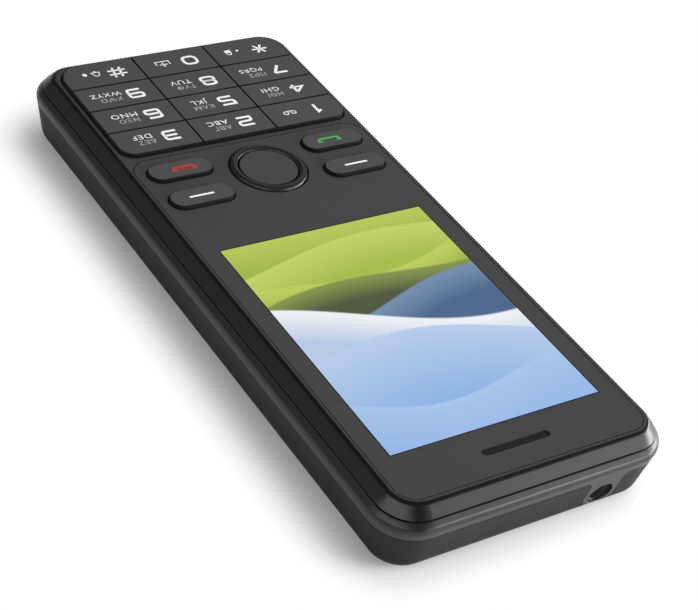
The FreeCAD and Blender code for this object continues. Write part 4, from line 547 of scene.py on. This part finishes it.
def lay_word(mesh, word, size, place, height):
    """Adds a short printed word to a bmesh, set wide in the plain built-in face, about its place."""
    curve = bpy.data.curves.new("setting", "FONT")
    curve.body = word
    curve.size = size * MM
    curve.align_x = "CENTER"
    curve.align_y = "CENTER"
    curve.resolution_u = 3
    curve.space_character = 1.12
    setting = bpy.data.objects.new("setting", curve)
    bpy.context.scene.collection.objects.link(setting)
    setting.scale = (1.15, 1.0, 1.0)
    setting.location = (place[0] * MM, place[1] * MM, height)
    bpy.context.view_layer.update()
    shape = bpy.data.meshes.new_from_object(setting.evaluated_get(bpy.context.evaluated_depsgraph_get()))
    shape.transform(setting.matrix_world)
    mesh.from_mesh(shape)
    bpy.data.objects.remove(setting)
    bpy.data.curves.remove(curve)
    bpy.data.meshes.remove(shape)


def print_on(key, name, ink, place, lines=(), dots=(), word=None):
    """One print that rides on its key, about a place. A line is (width, path), with a rise where it crosses
    another; a dot is (radius, x, y); a word is (text, size)."""
    height = KEY_TOP + PRINT_RISE
    mesh = bmesh.new()
    for width, path, *rise in lines:
        lay_line(mesh, path, width, place, height + sum(rise))
    for radius, x, y in dots:
        lay_dot(mesh, radius, (place[0] + x, place[1] + y), height)
    if word:
        lay_word(mesh, *word, place, height)
    bmesh.ops.recalc_face_normals(mesh, faces=mesh.faces)
    for face in mesh.faces:
        if face.normal.z < 0:
            face.normal_flip()
    data = bpy.data.meshes.new(name)
    mesh.to_mesh(data)
    mesh.free()
    data.materials.append(ink)
    piece = bpy.data.objects.new(name, data)
    bpy.context.scene.collection.objects.link(piece)
    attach(piece, key)


TOP_LEFT, TOP_RIGHT = (-WIDE, TALL), (WIDE, TALL)
LOW_LEFT, LOW_RIGHT = (-WIDE, -TALL), (WIDE, -TALL)
SIGNS = {
    "0": [loop(0, 0, WIDE, TALL, 3.2, 32)],
    "1": [bar((-0.75, 0.75), (0.1, TALL), (0.1, -TALL))],
    "2": [bent([TOP_LEFT, TOP_RIGHT, (WIDE, 0.05), (-WIDE, -0.05), (*LOW_LEFT, 0), LOW_RIGHT], BEND)],
    "3": [bent([TOP_LEFT, TOP_RIGHT, LOW_RIGHT, LOW_LEFT], BEND), bar((-WIDE + 0.2, 0), (WIDE, 0))],
    "4": [bar((0.55, -TALL), (0.55, TALL)), bent([(0.55, TALL), (-WIDE, -0.45, 0), (WIDE, -0.45)], 0.1)],
    "5": [bent([TOP_RIGHT, (*TOP_LEFT, 0), (-WIDE, 0.05), (WIDE, -0.05), LOW_RIGHT, LOW_LEFT], BEND)],
    "6": [bent([(WIDE - 0.1, TALL), TOP_LEFT, LOW_LEFT, LOW_RIGHT, (WIDE, 0), (-WIDE, 0)], BEND)],
    "7": [bent([TOP_LEFT, TOP_RIGHT, (-0.35, -TALL)], 0.35)],
    "8": [loop(0, 0.66, WIDE - 0.12, 0.66, 3.0, 28), loop(0, -0.64, WIDE, 0.66, 3.0, 28)],
    "9": [bent([(-WIDE + 0.1, -TALL), LOW_RIGHT, TOP_RIGHT, TOP_LEFT, (-WIDE, 0), (WIDE, 0)], BEND)],
    "star": [bar((-1.75 * math.cos(turn), -1.55 * math.sin(turn)),
                 (1.75 * math.cos(turn), 1.55 * math.sin(turn)))
             for turn in (0.0, math.pi / 3, 2 * math.pi / 3)],
    "hash": [bar((-1.9, 0.65), (1.9, 0.65)), bar((-1.9, -0.65), (1.9, -0.65)),
             bar((-1.0, -1.7), (-0.45, 1.7)), bar((0.45, -1.7), (1.0, 1.7))],
}
LETTERS = {"2": ("ABC", "ΑΒΓ"), "3": ("DEF", "ΔΕΖ"), "4": ("GHI", "ΗΘΙ"), "5": ("JKL", "ΚΛΜ"),
           "6": ("MNO", "ΝΞΟ"), "7": ("PQRS", "ΠΡΣ"), "8": ("TUV", "ΤΥΦ"), "9": ("WXYZ", "ΧΨΩ")}
# Plain icons on the keys without letters: where they stand from the key's spot, their lines and dots.
ICONS = {
    # two reels joined by their tape
    "1": ((3.0, 0.0),
          [(ICON_STROKE, loop(-0.85, 0.0, 0.5, 0.5)), (ICON_STROKE, loop(0.85, 0.0, 0.5, 0.5)),
           (ICON_STROKE, bar((-0.85, -0.5), (0.85, -0.5)))], []),
    # a plus over a space mark
    "0": ((2.9, 0.1),
          [(0.3, bar((-0.85, 0.0), (0.85, 0.0))), (0.3, bar((0.0, -0.8), (0.0, 0.8))),
           (ICON_STROKE, bar((-1.5, 0.1), (-1.5, -1.15), (1.5, -1.15), (1.5, 0.1)))], []),
    # a padlock and a dot
    "star": ((4.0, -0.4),
             [(0.95, bar((-0.7, -0.35), (0.7, -0.35))),
              (ICON_STROKE, bent([(-0.45, 0.0), (-0.45, 0.85), (0.45, 0.85), (0.45, 0.0)], 0.4))],
             [(0.3, -2.15, -0.2)]),
    # a bell and a dot
    "hash": ((1.3, -0.5),
             [(ICON_STROKE, bent([(-0.8, -0.5), (-0.5, 0.75), (0.5, 0.75), (0.8, -0.5)], 0.5)),
              (ICON_STROKE, bar((-1.0, -0.5), (1.0, -0.5)))],
             [(0.22, 0.0, -0.85), (0.5, 2.4, -0.2)]),
}
DASH_OUTWARD = 0.125                    # outward from the key's middle, on the soft keys
DASH = [(FUNCTION_STROKE, bar((-2.55, 0.1), (2.55, 0.1)))]
HANDSET = [(FUNCTION_STROKE, bent([(-2.3, 0.5), (-2.2, -0.4), (2.2, -0.4), (2.3, 0.5)], 0.5)),
           (FUNCTION_STROKE, bar((-2.6, 0.5), (-1.6, 0.5)), PRINT_RISE * 0.2),
           (FUNCTION_STROKE, bar((1.6, 0.5), (2.6, 0.5)), PRINT_RISE * 0.2)]

for name in SPOT_SHIFT:
    x, y = spot_on(name)
    width = DIGIT_STROKE if name.isdigit() else SIGN_STROKE
    print_on("key_" + name, "legend_" + name, WHITE_INK, (x + DIGIT_SHIFT, y),
             [(width, path) for path in SIGNS[name]])
    if name in LETTERS:
        latin, greek = LETTERS[name]
        shift, size = (LETTER_SHIFT, LETTER_SIZE) if len(latin) < 4 else (FOUR_LETTER_SHIFT, FOUR_LETTER_SIZE)
        print_on("key_" + name, "letters_" + name, WHITE_INK, (x + shift, y + LETTER_DROP),
                 word=(latin, size))
        print_on("key_" + name, "second_letters_" + name, GREY_INK, (x + SECOND_SHIFT, y + SECOND_RISE),
                 word=(greek, SECOND_SIZE))
for name, ((across, up), lines, dots) in ICONS.items():
    x, y = spot_on(name)
    print_on("key_" + name, "icon_" + name, WHITE_INK, (x + across, y + up), lines, dots)
for key, name, ink, shift, lines in (
        ("soft_key_left", "dash_soft_key_left", WHITE_INK, -DASH_OUTWARD, DASH),
        ("soft_key_right", "dash_soft_key_right", WHITE_INK, DASH_OUTWARD, DASH),
        ("call_key", "handset_call_key", GREEN_INK, HANDSET_INWARD, HANDSET),
        ("end_key", "handset_end_key", RED_INK, -HANDSET_INWARD, HANDSET)):
    x, y = middle_of(key)
    print_on(key, name, ink, (x + shift, y), lines)

# ---------------------------------------------------------------- floor, light, camera
WHITE = linear("#ffffff")
FLOOR_HALF = 3.0                        # metres
FLOOR_DROP = 0.1 * MM                   # the floor lies this far under the phone, so that no faces meet
FLOOR_TONE = linear("#f6f6f6")          # matt white, to the camera and in reflections
FLOOR_BOUNCE = linear("#aaaaaa")        # greyer to bounced light, so that it doesn't lift the phone's sides
FLOOR_LIFT = 0.08                       # light added to the shadow, so that it isn't black
FOOT_CORNER = 9 * MM                    # corner radius of the outline that the shadow follows
SHADOW_REACH = 10 * MM                  # the shadow fades into white this far from the phone
CONTACT = 0.4 * MM                      # a ray shorter than this starts between the phone and the floor
HORIZON_LOW, HORIZON_HIGH = 0.02, 0.14  # heights of view over which the white sweep fades
STUDIO_DIM = 0.07                       # strength of the studio overhead


def make_floor():
    """Pale seamless floor: white to the camera, with the phone's own shadow left in, and open from below."""
    mesh = bpy.data.meshes.new("floor")
    half = FLOOR_HALF
    corners = ((-half, -half), (half, -half), (half, half), (-half, half))
    mesh.from_pydata([(x, y, -FLOOR_DROP) for x, y in corners], [], [(0, 1, 2, 3)])
    floor = bpy.data.objects.new("floor", mesh)
    bpy.context.scene.collection.objects.link(floor)
    material = bpy.data.materials.new("matt_white_sweep")
    material.use_nodes = True
    tree = material.node_tree
    tree.nodes.clear()
    place = add(tree, "ShaderNodeTexCoord").outputs["Object"]
    core = (cad_high[0] - FOOT_CORNER, cad_high[1] - FOOT_CORNER, FLOOR_HALF)
    folded = add(tree, "ShaderNodeVectorMath", {0: place}, operation="ABSOLUTE")
    past = add(tree, "ShaderNodeVectorMath", {0: folded.outputs[0], 1: core}, operation="SUBTRACT")
    outside = add(tree, "ShaderNodeVectorMath", {0: past.outputs[0], 1: (0.0, 0.0, 0.0)}, operation="MAXIMUM")
    away = add(tree, "ShaderNodeVectorMath", {0: outside.outputs[0]}, operation="LENGTH")
    far = add(tree, "ShaderNodeMapRange", {"Value": away.outputs["Value"], "From Min": FOOT_CORNER,
                                           "From Max": FOOT_CORNER + SHADOW_REACH},
              interpolation_type="SMOOTHSTEP")
    matt = add(tree, "ShaderNodeBsdfDiffuse", {"Color": FLOOR_TONE})
    lift = add(tree, "ShaderNodeEmission", {"Color": WHITE, "Strength": FLOOR_LIFT})
    shadowed = add(tree, "ShaderNodeAddShader", {0: matt.outputs[0], 1: lift.outputs[0]})
    white = add(tree, "ShaderNodeEmission", {"Color": WHITE, "Strength": 1.0})
    sweep = add(tree, "ShaderNodeMixShader",
                {0: far.outputs["Result"], 1: shadowed.outputs[0], 2: white.outputs[0]})
    bounce = add(tree, "ShaderNodeBsdfDiffuse", {"Color": FLOOR_BOUNCE})
    ray = add(tree, "ShaderNodeLightPath")
    mirrored = add(tree, "ShaderNodeMath",
                   {0: ray.outputs["Is Glossy Ray"], 1: ray.outputs["Is Transmission Ray"]},
                   operation="MAXIMUM")
    indirect = add(tree, "ShaderNodeMixShader",
                   {0: mirrored.outputs[0], 1: bounce.outputs[0], 2: matt.outputs[0]})
    lit_side = add(tree, "ShaderNodeMixShader",
                   {0: ray.outputs["Is Camera Ray"], 1: indirect.outputs[0], 2: sweep.outputs[0]})
    touching = add(tree, "ShaderNodeMath", {0: ray.outputs["Ray Length"], 1: CONTACT}, operation="LESS_THAN")
    behind = add(tree, "ShaderNodeNewGeometry").outputs["Backfacing"]
    opened = add(tree, "ShaderNodeMath", {0: behind, 1: touching.outputs[0]}, operation="MAXIMUM")
    clear = add(tree, "ShaderNodeBsdfTransparent")
    seen = add(tree, "ShaderNodeMixShader",
               {0: opened.outputs[0], 1: lit_side.outputs[0], 2: clear.outputs[0]})
    add(tree, "ShaderNodeOutputMaterial", {"Surface": seen.outputs[0]})
    mesh.materials.append(material)


def make_world():
    """White sweep that fades upward into a dim studio; the camera itself sees it white."""
    world = bpy.data.worlds.new("studio")
    bpy.context.scene.world = world
    world.use_nodes = True
    tree = world.node_tree
    tree.nodes.clear()
    way = add(tree, "ShaderNodeSeparateXYZ", {"Vector": add(tree, "ShaderNodeTexCoord").outputs["Generated"]})
    fade = add(tree, "ShaderNodeMapRange",
               {"Value": way.outputs["Z"], "From Min": HORIZON_LOW, "From Max": HORIZON_HIGH, "To Min": 1.0,
                "To Max": STUDIO_DIM}, interpolation_type="SMOOTHSTEP")
    seen = add(tree, "ShaderNodeBackground", {"Color": WHITE, "Strength": 1.0})
    soft = add(tree, "ShaderNodeBackground", {"Color": WHITE, "Strength": fade.outputs["Result"]})
    ray = add(tree, "ShaderNodeLightPath")
    mixed = add(tree, "ShaderNodeMixShader",
                {0: ray.outputs["Is Camera Ray"], 1: soft.outputs[0], 2: seen.outputs[0]})
    add(tree, "ShaderNodeOutputWorld", {"Surface": mixed.outputs[0]})


# Soft boxes, each turned to the phone: place, width and height in metres, radiance, and whether it shows in
# gloss. Two only fill; the rest draw the soft lights along the walls and round the corners.
SOFT_BOXES = (
    ("high_fill", (-0.32, 0.02, 1.20), 1.3, 1.3, 1.75, False),
    ("end_box", (-0.66, 0.66, 0.39), 0.55, 0.20, 3.0, True),
    ("low_end_box", (-0.57, 0.82, 0.14), 0.32, 0.28, 8.4, True),
    ("low_box", (-0.95, 0.22, 0.07), 0.80, 0.12, 20.0, True),
    ("corner_box", (0.72, 0.32, 0.56), 1.60, 0.20, 3.6, True),
    ("side_box", (0.72, -0.66, 0.38), 0.5, 0.4, 0.25, True),
    ("back_box", (-0.50, -0.62, 0.60), 0.6, 0.5, 0.5, True),
    ("front_fill", (-0.24, 0.26, 0.13), 0.20, 0.12, 12.0, False),
)


def make_soft_box(name, place, width, height, radiance, in_gloss):
    """A rectangular lamp that faces the phone with an even radiance."""
    data = bpy.data.lights.new(name, "AREA")
    data.shape = "RECTANGLE"
    data.size = width
    data.size_y = height
    data.energy = radiance * math.pi * width * height
    lamp = bpy.data.objects.new(name, data)
    bpy.context.scene.collection.objects.link(lamp)
    lamp.location = place
    lamp.rotation_euler = (-Vector(place)).to_track_quat("-Z", "Y").to_euler()
    lamp.visible_glossy = in_gloss


CAMERA_PLACE = Vector((171.425, 216.391, 210.508)) * MM
CAMERA_RIGHT = Vector((-0.83491, 0.52255, 0.17280))
CAMERA_DOWN = Vector((0.21184, 0.59488, -0.77540))
CAMERA_LENS = 95.31                     # mm, over a sensor 36 mm wide


def make_camera():
    """Camera above the earpiece end, turned so that the keypad lies at the top left."""
    data = bpy.data.cameras.new("camera")
    data.sensor_width = 36.0
    data.lens = CAMERA_LENS
    data.clip_start = 0.01
    data.clip_end = 20.0
    camera = bpy.data.objects.new("camera", data)
    bpy.context.scene.collection.objects.link(camera)
    forward = CAMERA_RIGHT.cross(CAMERA_DOWN)
    turn = Matrix((CAMERA_RIGHT, -CAMERA_DOWN, -forward)).transposed()
    camera.matrix_world = Matrix.Translation(CAMERA_PLACE) @ turn.to_4x4()
    bpy.context.scene.camera = camera


make_floor()
make_world()
for box in SOFT_BOXES:
    make_soft_box(*box)
make_camera()
bpy.context.scene.view_settings.view_transform = "Standard"
